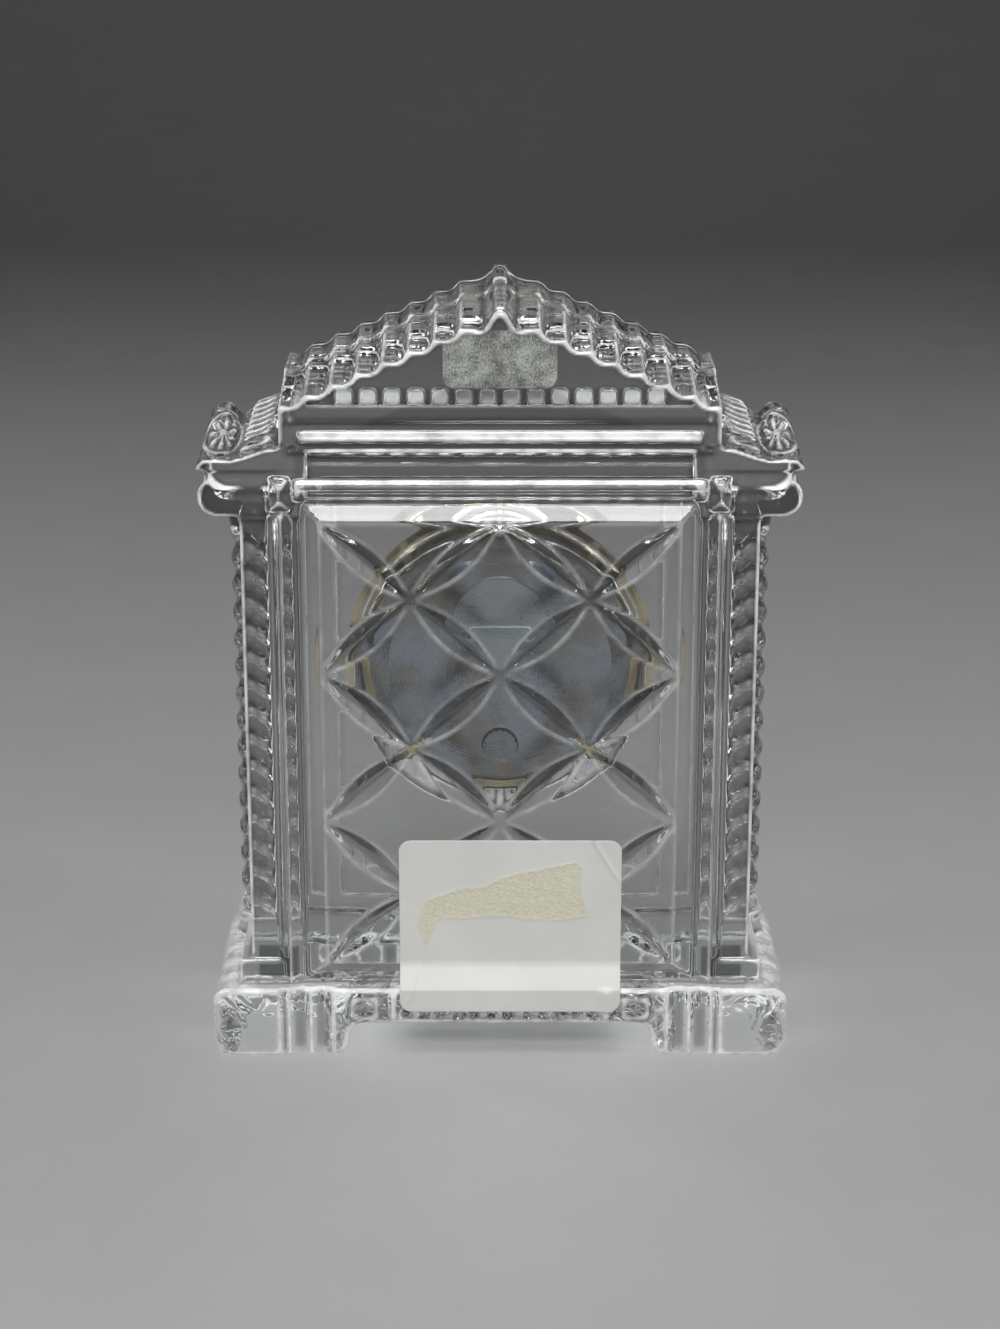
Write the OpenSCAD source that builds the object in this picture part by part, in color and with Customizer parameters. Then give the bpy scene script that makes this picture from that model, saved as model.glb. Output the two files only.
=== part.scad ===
// Table clock in cast lead crystal, shaped as a small temple front, with a press-in quartz clock.
// The clock faces -Y. The origin is at the middle of the base, on the surface that it stands on.

/* [Base] */
// How far the base stands out past each side wing
base_step = 7.4; // [5:0.1:10]
// Depth of the base from its front to its back face
base_d = 39.8; // [39:0.2:46]
// Height of the base
base_h = 13.5; // [11.5:0.25:16]
// Radius of the outer corners of the feet
base_corner_r = 3.5; // [1.5:0.25:4]
// Radius of the upright corners of the base, seen from above
base_plan_r = 2.5; // [1.5:0.25:4]
// Width of each foot
foot_w = 25.5; // [20:0.5:32]
// Height of the arch between the feet
arch_h = 6.6; // [5.5:0.1:7.5]
// Spacing of the rounded ribs under the arch
arch_rib_pitch = 3.25; // [2.5:0.05:5]

/* [Body] */
// Width of the block between the side wings
core_w = 73; // [70:0.5:80]
// Width of each side wing
wing_w = 10.1; // [9:0.1:12]
// How far the front face of the block lies behind the front of the base
front_step = 7.4; // [6:0.1:9]
// How far the plain back face lies in front of the back of the base
back_step = 4.9; // [4:0.1:6]
// Height of the back panel's lower edge over the base
panel_lift = 4.5; // [3.8:0.1:7]
// Height of the back panel
panel_h = 85; // [80:0.5:88]
// Width of the plain strip between the back panel's bevel and the edge of the block
panel_side = 0.6; // [0.3:0.1:2]
// Width of the bevel round the back panel
panel_bevel = 3.6; // [2:0.2:4.4]
// Height of the back panel over the plain back face
panel_rise = 2; // [1:0.1:2.6]

/* [Lattice] */
// Columns of the wheel-cut lattice on the back panel
lattice_columns = 4; // [2:1:6]
// Rows of the lattice
lattice_rows = 6; // [4:1:8]
// Width of each cut at its middle
cut_w = 5; // [3:0.25:6]
// Depth of each cut at its middle
cut_depth = 1.75; // [1:0.05:2.2]

/* [Columns] */
// Distance of each rope column's axis inside the outer face of its wing
rope_in = 0.6; // [0:0.1:2]
// Distance of each rope column's axis behind the front of the base
rope_set = 9.4; // [8:0.1:11]
// Radius of the rope columns over the strands
rope_r = 4.9; // [4.2:0.1:5.2]
// Depth of the groove between two strands
rope_groove = 1; // [0.5:0.1:1.4]
// Distance along the column from one strand to the next
rope_pitch = 5.43; // [4.4:0.01:6.6]
// Strands in each rope column
rope_strands = 3; // [2:1:4]

/* [Roof] */
// Height of the roof's peak over its lowest step
gable_h = 16.8; // [14:0.2:22]
// How far each eave stands out past the block
eave_out = 2.7; // [1.5:0.1:4]
// Steps on each slope of the roof
roof_steps = 8; // [6:1:9]
// Height of the lowest step over the back panel
eave_lift = 24.2; // [22:0.2:28]
// Width of each step's flat top
step_w = 2.5; // [1.5:0.1:3]
// Drop of the roof from its front edge to its back edge
roof_fall = 3.4; // [2:0.2:5]

/* [Clock insert] */
// Height of the clock's centre on the back panel, as a share of the panel's height
clock_share = 0.635; // [0.6:0.005:0.66]
// Depth of the bore that holds the insert
bore_depth = 16.5; // [16:0.1:17]
// How far the bezel laps over the crystal round the bore
bezel_lap = 1.75; // [1.5:0.05:2.5]
// Height of the bezel in front of the crystal
bezel_h = 3.2; // [2.9:0.05:3.6]
// Width from the lens to the bore, taken up by the bezel's skirt and the grip ring
rim_w = 2.1; // [2:0.05:2.6]
// Width of the ring between the movement and the lens radius
ring_w = 5.1; // [4.5:0.1:6]
// How far the back can reaches past the movement's plates
can_out = 0.95; // [0.8:0.05:1.5]

/* [Movement] */
// Radius of the movement's plates
plate_r = 19.8; // [19.6:0.05:20]
// Distance from the clock's centre to the minute wheel and the hour work
motion_centre = 7.2; // [7:0.02:7.4]
// Distance from the clock's centre to the third wheel
third_centre = 6.8; // [6.7:0.02:6.9]
// Distance from the clock's centre to the step wheel
step_centre = 3.6; // [3.55:0.01:3.65]
// Radius of the button cell
cell_r = 5.8; // [5.5:0.05:5.85]
// Height of the button cell
cell_h = 5.4; // [5:0.05:5.42]
// Distance of the button cell above the clock's centre
cell_y = 9.2; // [9:0.05:9.4]
// Radius of the battery hatch
hatch_r = 8.6; // [8.5:0.05:9]
// Radius of the setting knob
knob_r = 3.2; // [2.5:0.05:3.4]

/* [Labels] */
// Width of the back label
label_w = 41.2; // [36:0.2:48]
// How far the middle of the back label lies to one side
label_shift = 1.9; // [0:0.1:4]
// Length of the back label on the panel
label_h = 24.6; // [18:0.2:30]
// Corner radius of both labels
label_r = 2.2; // [1:0.1:3]
// Thickness of both labels
label_t = 0.2; // [0.1:0.02:0.3]
// Width of the front label
front_label_w = 20.8; // [12:0.4:22]
// Height of the front label
front_label_h = 10.6; // [6:0.2:11]

/* [Hidden] */
$fn = 96;

// How far a cut runs past the face that it opens
overrun = 1;
// How far joined forms run into each other
embed = 0.5;
// Gap of a running fit, on the radius
running = 0.05;
// Gap between pieces that are seated on each other
seat = 0.02;

// Places that follow from the driving sizes
body_w = core_w + 2 * wing_w;
base_w = body_w + 2 * base_step;
boss_rise = 0.5;
base_front = base_d / 2 - boss_rise;
base_back = base_d / 2 - boss_rise;
arch_w = base_w - 2 * foot_w;
core_front = base_d / 2 - front_step;
back_y = base_d / 2 - back_step;
panel_w = core_w - 2 * (panel_bevel + panel_side);
panel_z = base_h + panel_lift;
panel_top = panel_z + panel_h;
panel_y = back_y + panel_rise;
rope_x = body_w / 2 - rope_in;
rope_y = base_d / 2 - rope_set;
eave_x = core_w / 2 + eave_out;
eave_z = panel_top + eave_lift;
peak_z = eave_z + gable_h;
clock_z = panel_z + clock_share * panel_h;
dial_r = plate_r + ring_w;
bore_r = dial_r + rim_w;
bezel_r = bore_r + bezel_lap;
can_r = plate_r + can_out;

// A rectangle from x0 to x1 and y0 to y1 with four round corners
module round_rect(x0, x1, y0, y1, r) {
    translate([x0 + r, y0])
        square([x1 - x0 - 2 * r, y1 - y0]);
    translate([x0, y0 + r])
        square([x1 - x0, y1 - y0 - 2 * r]);
    for (x = [x0 + r, x1 - r], y = [y0 + r, y1 - r])
        translate([x, y])
            circle(r);
}

// Stands a drawing up in the XZ plane and gives it a depth from y0 to y1
module upright(y0, y1) {
    translate([0, y1, 0])
        rotate([90, 0, 0])
            linear_extrude(y1 - y0)
                children();
}

module block(x0, x1, y0, y1, z0, z1) {
    translate([x0, y0, z0])
        cube([x1 - x0, y1 - y0, z1 - z0]);
}

module both_sides() {
    children();
    mirror([1, 0, 0])
        children();
}

// Base
flute_r = 2.1;
flute_first = 4.9;
flute_pitch = 4.1;
notch_in = 11.9;
flute_depth = 1.3;
flute_x = [arch_w / 2 + flute_first, arch_w / 2 + flute_first + flute_pitch];
notch_x = arch_w / 2 + notch_in;
notch_depth = 0.9;
boss_w = 5;
boss_h = 4.4;
boss_gap = 0.7;
boss_drop = 1.4;
boss_x = [arch_w / 2 - boss_gap - boss_w, arch_w / 2 - boss_gap];
boss_z = [base_h - boss_drop - boss_h, base_h - boss_drop];
boss_r = 1;
arch_rib_r = 1.75;
arch_rib_rise = 0.9;
arch_corner_r = 3.1;
foot_end_r = 2.9;
bead_in = 8.6;
foot_bead_r = 0.9;
foot_bead_z = [base_h - 5.6, base_h - 0.7];
arch_ribs = floor((arch_w - 4 * arch_rib_pitch) / arch_rib_pitch);

module base_block() {
    intersection() {
        upright(-base_front, base_back)
            round_rect(-base_w / 2, base_w / 2, 0, base_h, base_corner_r);
        linear_extrude(base_h)
            round_rect(-base_w / 2, base_w / 2, -base_front, base_back, base_plan_r);
    }
}

// What lies outside a round corner whose sharp point is at x, y
module corner_outside(x, y, r) {
    difference() {
        translate([x - r, y - r])
            square([r + overrun, r + overrun]);
        translate([x - r, y - r])
            circle(r);
    }
}

// Everything that is cut from the base
module base_cuts() {
    difference() {
        block(-arch_w / 2, arch_w / 2, -base_front - overrun, base_back + overrun, -overrun, arch_h);
        both_sides()
            upright(-base_d, base_d)
                corner_outside(arch_w / 2, arch_h, arch_corner_r);
    }
    both_sides() {
        upright(-base_front - overrun, base_back + overrun)
            rotate(180)
                corner_outside(-arch_w / 2, 0, foot_end_r);
        for (x = flute_x)
            translate([x, base_back - flute_depth + flute_r, -overrun])
                cylinder(r = flute_r, h = base_h + 2 * overrun);
        for (y = [base_back, -base_front])
            translate([notch_x, y, base_h / 2])
                rotate([0, 0, 45])
                    cube([sqrt(2) * notch_depth, sqrt(2) * notch_depth, 2 * base_h], center = true);
        for (x = flute_x)
            translate([x, -base_front + flute_depth - flute_r, -overrun])
                cylinder(r = flute_r, h = base_h + 2 * overrun);
    }
}

// Ribs that run front to back under the arch
module arch_ribs_row() {
    for (i = [0 : arch_ribs - 1])
        translate([(i - (arch_ribs - 1) / 2) * arch_rib_pitch, 0, arch_h + arch_rib_r - arch_rib_rise])
            rotate([90, 0, 0])
                cylinder(r = arch_rib_r, h = base_d - 2 * base_plan_r, center = true);
}

// Raised squares and upright beads on the front and back of the base, beside the feet
module base_bosses(skin = 0) {
    both_sides() {
        upright(-base_front - boss_rise - skin, base_back + boss_rise + skin)
            round_rect(boss_x[0] - skin, boss_x[1] + skin, boss_z[0] - skin, boss_z[1] + skin, boss_r);
        for (y = [base_back + boss_rise - foot_bead_r, -base_front - boss_rise + foot_bead_r])
            translate([arch_w / 2 - bead_in, y, foot_bead_z[0] - skin])
                cylinder(r = foot_bead_r + skin, h = foot_bead_z[1] - foot_bead_z[0] + 2 * skin);
    }
}

// Body
wing_set = 11.9;
wing_front = base_d / 2 - wing_set;
plinth_in = 3.7;
plinth_out = 2.2;
plinth_set = [3.3, 4.1];
plinth_x = [core_w / 2 + plinth_in, body_w / 2 + plinth_out];
plinth_y = [plinth_set[0] - base_d / 2, base_d / 2 - plinth_set[1]];
ridge_gap = 0.5;
ridge_w = 4.4;
ridge_x = [core_w / 2 + ridge_gap, core_w / 2 + ridge_gap + ridge_w];
ridge_rise = 1.2;
ridge_top = panel_top + 1.2;
capital_z = [panel_top + 1.6, panel_top + 8.4];
capital_inset = 1.9;
capital_rise = 1.4;
collar_rise = 0.4;
window_frame_w = 3;
window_rise = 0.9;

module core_block() {
    block(-core_w / 2, core_w / 2, -core_front, back_y, base_h - embed, roof_bottom + 2 * embed);
}

// Side wing with its plinth, rope column and the column's foot and flared cap
module wing() {
    block(core_w / 2 - embed, body_w / 2, -wing_front, back_y, base_h - embed, roll_z);
    block(plinth_x[0], plinth_x[1], plinth_y[0], plinth_y[1], base_h - embed, panel_z);
    rope();
    translate([rope_x, -rope_y, 0]) {
        rod(rope_r + collar_rise, base_h - embed, panel_z);
        translate([0, 0, roll_z - roll_r - cap_h])
            cylinder(r1 = cap_r[0], r2 = cap_r[1], h = cap_h + embed);
    }
}

// A flat-topped block with slanting sides on an upright face. x and z are [low, high],
// y is [hidden face, foot of the slanting sides, flat top].
module mitred_block(x, y, z, inset) {
    polyhedron(
        points = [
            [x[0], y[0], z[0]], [x[1], y[0], z[0]], [x[1], y[0], z[1]], [x[0], y[0], z[1]],
            [x[0], y[1], z[0]], [x[1], y[1], z[0]], [x[1], y[1], z[1]], [x[0], y[1], z[1]],
            [x[0] + inset, y[2], z[0] + inset], [x[1] - inset, y[2], z[0] + inset],
            [x[1] - inset, y[2], z[1] - inset], [x[0] + inset, y[2], z[1] - inset]
        ],
        faces = [
            [3, 2, 1, 0], [8, 9, 10, 11],
            [0, 1, 5, 4], [1, 2, 6, 5], [2, 3, 7, 6], [3, 0, 4, 7],
            [4, 5, 9, 8], [5, 6, 10, 9], [6, 7, 11, 10], [7, 4, 8, 11]
        ]
    );
}

module back_panel() {
    half = panel_w / 2 + panel_bevel;
    mitred_block(
        [-half, half], [back_y - embed, back_y, panel_y],
        [panel_z - panel_bevel, panel_top + panel_bevel], panel_bevel
    );
}

// Upright ridge with two slanting faces at each side of the back panel
module back_ridges() {
    both_sides()
        translate([0, 0, base_h - embed])
            linear_extrude(ridge_top - base_h + embed)
                polygon([
                    [ridge_x[0], back_y - embed], [ridge_x[0], back_y],
                    [(ridge_x[0] + ridge_x[1]) / 2, back_y + ridge_rise],
                    [ridge_x[1], back_y], [ridge_x[1], back_y - embed]
                ]);
}

// Lattice of wheel cuts: each is the path of a wheel with a V-shaped rim
lattice_dx = panel_w / lattice_columns;
lattice_dz = panel_h / lattice_rows;
lattice_gap = 0.35;
// How far the cuts rise over the panel that they open
cut_skin = 0.04;
cut_length = norm([lattice_dx, lattice_dz]) - 2 * lattice_gap;
wheel_r = (cut_length * cut_length / 4 + cut_depth * cut_depth) / (2 * cut_depth);
wheel_half = cut_w / 2 * wheel_r / cut_depth;

module wheel_cut(angle) {
    rotate([0, -angle, 0])
        translate([0, wheel_r - cut_depth, 0])
            for (side = [0, 180])
                rotate([side, 0, 0])
                    cylinder(r1 = wheel_r, r2 = 0, h = wheel_half, $fn = 180);
}

// Only the part of the wheel's path that lies in the glass
module cut(angle) {
    intersection() {
        wheel_cut(angle);
        translate([-lattice_dx, -2 * cut_depth, -lattice_dz])
            cube([2 * lattice_dx, 2 * cut_depth + cut_skin, 2 * lattice_dz]);
    }
}

module lattice() {
    slope = atan2(lattice_dz, lattice_dx);
    for (i = [0 : lattice_columns - 1], j = [0 : lattice_rows - 1])
        translate([
            (i + 0.5) * lattice_dx - panel_w / 2,
            panel_y,
            panel_z + (j + 0.5) * lattice_dz
        ])
            cut((i + j) % 2 == 0 ? slope : -slope);
}

// Rope column: strands wound round a core, as rings of points
rings_per_pitch = 4;
rope_share = [0.9, 0, 0.9];

module rope() {
    z0 = panel_z - embed;
    z1 = roll_z - roll_r - embed;
    lead = rope_pitch * rope_strands;
    rings = ceil((z1 - z0) / rope_pitch * rings_per_pitch);
    n = rope_strands * len(rope_share);
    points = [
        for (k = [0 : rings], i = [0 : n - 1])
            let (
                z = z0 + (z1 - z0) * k / rings,
                a = 360 * i / n + 360 * (z - z0) / lead,
                r = rope_r - rope_groove * (1 - rope_share[i % len(rope_share)])
            )
            [r * cos(a), r * sin(a), z]
    ];
    sides = [
        for (k = [0 : rings - 1], i = [0 : n - 1])
            let (a = k * n + i, b = k * n + (i + 1) % n)
            each [[a, a + n, b], [b, a + n, b + n]]
    ];
    low = [[for (i = [0 : n - 1]) i]];
    high = [[for (i = [n - 1 : -1 : 0]) rings * n + i]];
    translate([rope_x, -rope_y, 0])
        polyhedron(points = points, faces = concat(low, sides, high));
}

// Cornice ends: a round moulding, a waist and a block whose top falls to the back
end_set = [3.3, 4.5];
end_lip = 0.2;
end_front = base_d / 2 - end_set[0];
end_back = base_d / 2 - end_set[1];
roll_r = 3.6;
roll_z = panel_top + 4.4;
waist_x = base_w / 2 - 1.4;
end_z = panel_top + 9.4;
end_fall = 3.6;
end_groove = 2.4;
end_knee = [2.4, -1.4, 1.6, -3.4, -1.2];
end_rise = [17.4, 16.6, 15.4, 14.8, 14.9, 14.6, 12.6];
end_fall_share = [0, 0.5, 1];
end_groove_share = [1, 0.6, 0.05];
cap_r = [4.7, 6];
cap_h = 8.6;

// The top of each end as [x, z, groove], outwards
end_line = [
    [core_w / 2 - overrun, panel_top + end_rise[0], 0],
    [eave_x + end_knee[0], panel_top + end_rise[1], 0],
    [body_w / 2 + end_knee[1], panel_top + end_rise[2], 0],
    [body_w / 2 + end_knee[2], panel_top + end_rise[3], 1],
    [base_w / 2 + end_knee[3], panel_top + end_rise[4], 0],
    [base_w / 2 + end_knee[4], panel_top + end_rise[5], 0],
    [base_w / 2 + overrun, panel_top + end_rise[6], 0]
];
// Places from front to back as [y, fall, share of the groove]
end_y = [-end_front - overrun, 0, end_back + overrun];
end_places = [
    for (i = [0 : len(end_y) - 1]) [end_y[i], end_fall * end_fall_share[i], end_groove_share[i]]
];

module cornice_ends() {
    both_sides() {
        upright(-end_front, end_back) {
            translate([base_w / 2 - roll_r, roll_z])
                circle(roll_r);
            translate([core_w / 2 - embed, roll_z - roll_r])
                square([base_w / 2 - roll_r - core_w / 2 + embed, 2 * roll_r]);
            translate([core_w / 2 - embed, roll_z])
                square([waist_x - core_w / 2 + embed, end_z - roll_z + embed]);
        }
        intersection() {
            relief_form(end_line, end_places, end_z - overrun, end_groove);
            block(
                core_w / 2 - embed, base_w / 2,
                -end_front - end_lip, end_back + end_lip,
                end_z, panel_top + end_rise[0] + overrun
            );
        }
        mitred_block(
            ridge_x, [end_back - embed, end_back, end_back + capital_rise],
            capital_z, capital_inset
        );
    }
}

// Roof: a stair on each slope, whose ribs run from front to back
roof_set = [2.9, 4.4];
roof_front = base_d / 2 - roof_set[0];
roof_back = base_d / 2 - roof_set[1];
roof_bottom = panel_top + 8;
peak_w = 2;
valley_x = 2.9;
first_x = 5.85;
peak_rise = 3;
peak_edge = 0.2;
valley_rise = 0.5;
groove_depth = 0.9;
groove_x_share = 0.35;
groove_z_share = 0.2;
roof_pitch = (eave_x - step_w / 2 - first_x) / (roof_steps - 1);
first_z = peak_z - peak_rise;
step_drop = (first_z - eave_z) / (roof_steps - 1);

// One slope as [x, z, groove], from the peak outwards
roof_slope = concat(
    [[peak_w / 2, peak_z - peak_edge, 0], [valley_x, first_z + valley_rise, 1]],
    [
        for (i = [0 : roof_steps - 1])
            let (x = first_x + i * roof_pitch, z = first_z - i * step_drop)
            each [
                [x - step_w / 2, z, 0],
                [x + step_w / 2, z, 0],
                if (i < roof_steps - 1)
                    [
                        x + step_w / 2 + (roof_pitch - step_w) * groove_x_share,
                        z - step_drop * groove_z_share,
                        1
                    ]
            ]
    ]
);
roof_line = concat(
    [for (i = [len(roof_slope) - 1 : -1 : 0]) [-roof_slope[i][0], roof_slope[i][1], roof_slope[i][2]]],
    [[0, peak_z, 0]],
    roof_slope
);
// Places from front to back as [y, fall, share of the groove]: rounded edge, lip and plain slope
roof_edge_w = 0.8;
roof_edge_drop = 0.4;
lip_y = [-1.5, -0.2, 2.5];
lip_fall_share = [0, 0.26, 0.38];
lip_groove_share = [0.6, 0.9, 1];
back_slope = roof_fall * (1 - lip_fall_share[2]) / (roof_back - lip_y[2]);
roof_places = [
    [-roof_front - overrun, roof_edge_drop * (1 + overrun / roof_edge_w), 0],
    [-roof_front + roof_edge_w, 0, 0],
    for (i = [0 : len(lip_y) - 1]) [lip_y[i], roof_fall * lip_fall_share[i], lip_groove_share[i]],
    [roof_back + overrun, roof_fall + back_slope * overrun, 1]
];

// The roof is trimmed to plain front and back faces
module roof() {
    intersection() {
        relief_form(roof_line, roof_places, roof_bottom - overrun, groove_depth);
        block(-eave_x - step_w, eave_x + step_w, -roof_front, roof_back, roof_bottom, peak_z + overrun);
    }
}

// A block on the level z. Its top has the height line[i][1] at x = line[i][0], less the fall of each
// place from front to back and less that place's share of the grooves.
module relief_form(line, places, z, depth) {
    nx = len(line);
    ny = len(places);
    top = [
        for (p = places, s = line)
            [s[0], p[0], s[1] - p[1] - s[2] * p[2] * depth]
    ];
    corners = [
        for (y = [places[0][0], places[ny - 1][0]], x = [line[0][0], line[nx - 1][0]])
            [x, y, z]
    ];
    c = nx * ny;
    skin = [
        for (j = [0 : ny - 2], i = [0 : nx - 2])
            let (a = j * nx + i)
            each [[a, a + nx, a + 1], [a + 1, a + nx, a + nx + 1]]
    ];
    front = concat([c], [for (i = [0 : nx - 1]) i], [c + 1]);
    back = concat([c + 3], [for (i = [nx - 1 : -1 : 0]) (ny - 1) * nx + i], [c + 2]);
    left = concat([c + 2], [for (j = [ny - 1 : -1 : 0]) j * nx], [c]);
    right = concat([c + 1], [for (j = [0 : ny - 1]) j * nx + nx - 1], [c + 3]);
    polyhedron(
        points = concat(top, corners),
        faces = concat(skin, [front, back, left, right, [c, c + 1, c + 3, c + 2]])
    );
}

// Entablature on the front, under the pediment, and the mouldings on the back
ledge_z = [panel_top + 13.6, panel_top + 16.6];
ledge_out = 0.4;
dentil_h = 3;
dentil_w = 2.7;
dentil_pitch = 4.4;
dentil_side = 8.4;
dentil_set = 0.6;
frieze_z = [panel_top + 1, panel_top + 3.2, panel_top + 5.8];
fascia_y = [core_front + 1.5, core_front + 2.3];
bead_r = 2.3;
bead_sunk = 1;
bead_z = panel_top + 5.9;
sill_z = [panel_top + 14.4, panel_top + 17.3];
sill_side = 2.8;
sill_out = 1.3;
sill_edge = 0.5;

module entablature() {
    block(-core_w / 2, core_w / 2, -fascia_y[0], 0, frieze_z[0], ledge_z[0] + embed);
    block(-core_w / 2, core_w / 2, -fascia_y[1], 0, frieze_z[1], frieze_z[2]);
    block(-eave_x, eave_x, -roof_front - ledge_out, 0, ledge_z[0], ledge_z[1]);
    translate([-core_w / 2, back_y - bead_sunk, bead_z])
        rotate([0, 90, 0])
            cylinder(r = bead_r, h = core_w);
    back_sill();
}

// Small blocks along the foot of the pediment
module dentils() {
    n = floor((core_w - dentil_side) / dentil_pitch);
    for (i = [0 : n - 1])
        translate([
            (i - (n - 1) / 2) * dentil_pitch - dentil_w / 2,
            -roof_front + dentil_set,
            ledge_z[1] - embed
        ])
            cube([dentil_w, tympanum_depth, dentil_h + embed]);
}

// Sloping sill across the back, under the roof
module back_sill() {
    half = eave_x - sill_side;
    y = roof_back;
    polyhedron(
        points = [
            [-half, y - embed, sill_z[0]], [half, y - embed, sill_z[0]],
            [half, y - embed, sill_z[1]], [-half, y - embed, sill_z[1]],
            [-half + sill_out, y + sill_out, sill_z[0] + sill_edge],
            [half - sill_out, y + sill_out, sill_z[0] + sill_edge]
        ],
        faces = [[3, 2, 1, 0], [0, 1, 5, 4], [4, 5, 2, 3], [1, 2, 5], [3, 0, 4]]
    );
}

// Recess of the pediment on the front
tympanum_depth = 3.4;
tympanum_rim = 4;
tympanum_side = 3.2;
roof_rise_share = (first_z - eave_z) / (eave_x - step_w / 2 - first_x);

module tympanum() {
    z0 = ledge_z[1];
    z1 = first_z + first_x * roof_rise_share - tympanum_rim;
    half = eave_x - tympanum_side;
    z2 = z1 - half * roof_rise_share;
    upright(-roof_front - overrun, -roof_front + tympanum_depth)
        polygon([[-half, z0], [half, z0], [half, z2], [0, z1], [-half, z2]]);
}

// Raised ring and square frame round the insert on the front
module front_frame() {
    difference() {
        block(
            -core_w / 2 + window_frame_w, core_w / 2 - window_frame_w,
            -core_front - window_rise, -core_front + embed,
            panel_z + window_frame_w, frieze_z[0] + embed
        );
        block(
            -core_w / 2 + 2 * window_frame_w, core_w / 2 - 2 * window_frame_w,
            -core_front - window_rise - overrun, -core_front + 2 * embed,
            panel_z + 2 * window_frame_w, frieze_z[0] - window_frame_w + embed
        );
    }
}

// Block between the wings, with the bore and the wheel cuts
module carved_core() {
    difference() {
        union() {
            core_block();
            back_ridges();
            back_panel();
            front_frame();
        }
        lattice();
        clock_space();
    }
}

// The bore, and room for the bezel in front of the crystal
module clock_space() {
    at_clock() {
        rod(bore_r, -2 * bezel_h, bore_depth);
        rod(bezel_r + 2 * running, -2 * bezel_h, 0);
    }
}

// Roof, pediment, entablature and cornice ends
module head() {
    difference() {
        union() {
            cornice_ends();
            entablature();
            roof();
        }
        tympanum();
        clock_space();
    }
    dentils();
}

module foot() {
    difference() {
        base_block();
        base_cuts();
    }
    arch_ribs_row();
    base_bosses();
}

module crystal_body() {
    color([0.86, 0.9, 0.92]) {
        carved_core();
        head();
        foot();
        both_sides()
            wing();
    }
}

// Labels
label_over = 4.3;
label_bottom = base_h - label_over;
front_label_gap = 0.6;
front_label_z = ledge_z[1] + dentil_h + front_label_gap;

// The back label lies on the panel, steps over the bevel and ends on the back of the base,
// where it follows what is raised under it
module back_label() {
    color([0.82, 0.82, 0.78])
        difference() {
            intersection() {
                union() {
                    translate([-label_w / 2 - label_shift, 0, 0])
                        rotate([90, 0, 90])
                            linear_extrude(label_w)
                                polygon([
                                    [panel_y, panel_z + label_h],
                                    [panel_y, panel_z],
                                    [base_back, base_h],
                                    [base_back, label_bottom],
                                    [base_back + label_t, label_bottom],
                                    [base_back + label_t, base_h + label_t / 2],
                                    [panel_y + label_t, panel_z + label_t / 2],
                                    [panel_y + label_t, panel_z + label_h]
                                ]);
                    intersection() {
                        base_bosses(label_t);
                        block(-base_w / 2, base_w / 2, base_back, base_d, 0, base_h);
                    }
                }
                translate([-label_shift, 0, 0])
                    upright(back_y, base_d)
                        round_rect(-label_w / 2, label_w / 2, label_bottom, panel_z + label_h, label_r);
            }
            base_bosses();
        }
}

module front_label() {
    color([0.8, 0.8, 0.8])
        translate([0, 0, front_label_z])
            upright(-roof_front + tympanum_depth - label_t, -roof_front + tympanum_depth)
                round_rect(-front_label_w / 2, front_label_w / 2, 0, front_label_h, label_r);
}

// Clock insert. In its own frame x and y are right and up as seen from behind,
// and z is the depth behind the crystal's front face.
module at_clock() {
    translate([0, -core_front, clock_z])
        rotate([90, 0, 180])
            children();
}

// A toothed wheel whose first tooth points along +X
tip_add = 0.85;
root_cut = 1.25;
tip_share = 0.2;
root_share = 0.52;

module gear(teeth, size, thick) {
    tip_r = size * (teeth / 2 + tip_add);
    root_r = size * (teeth / 2 - root_cut);
    tooth = [[root_r, -root_share], [tip_r, -tip_share], [tip_r, tip_share], [root_r, root_share]];
    linear_extrude(thick)
        polygon([
            for (i = [0 : teeth - 1], p = tooth)
                let (a = (i + p[1] / 2) * 360 / teeth)
                [p[0] * cos(a), p[0] * sin(a)]
        ]);
}

module ring(r_out, r_in, z0, z1) {
    translate([0, 0, z0])
        difference() {
            cylinder(r = r_out, h = z1 - z0);
            translate([0, 0, -overrun])
                cylinder(r = r_in, h = z1 - z0 + 2 * overrun);
        }
}

module rod(r, z0, z1) {
    translate([0, 0, z0])
        cylinder(r = r, h = z1 - z0);
}

// Levels of the insert, front to back
lens_back = -1;
lens_dome = 0.7;
lip_t = 0.9;
lip_w = 0.7;
lip_r = dial_r - lip_w;
grip_w = 1;
skirt_r = bore_r - grip_w;
skirt_end = 5.6;
crimp_w = 0.4;
dial_z = [1.8, 2.2];
plate_z = 3.6;
hour_wheel_z = [3.9, 4.5];
minute_wheel_z = [5, 5.6];
centre_wheel_z = [6.1, 6.6];
middle_z = [6.95, 7.45];
third_wheel_z = [7.75, 8.15];
seconds_wheel_z = [8.7, 9.1];
step_wheel_z = [9.7, 10.1];
rear_z = [11.2, 11.9];
can_flange_z = [4.75, 5.25];
can_t = 0.45;
can_back_z = 13.7;
hatch_z = 14.5;

// Radii of the nested arbors and tubes
second_arbor_r = 0.4;
minute_tube_r = 0.9;
hour_pipe_r = 1.4;
bush_r = 2.6;
small_arbor_r = 0.35;
rotor_arbor_r = 0.2;
setting_arbor_r = 0.8;

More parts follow.
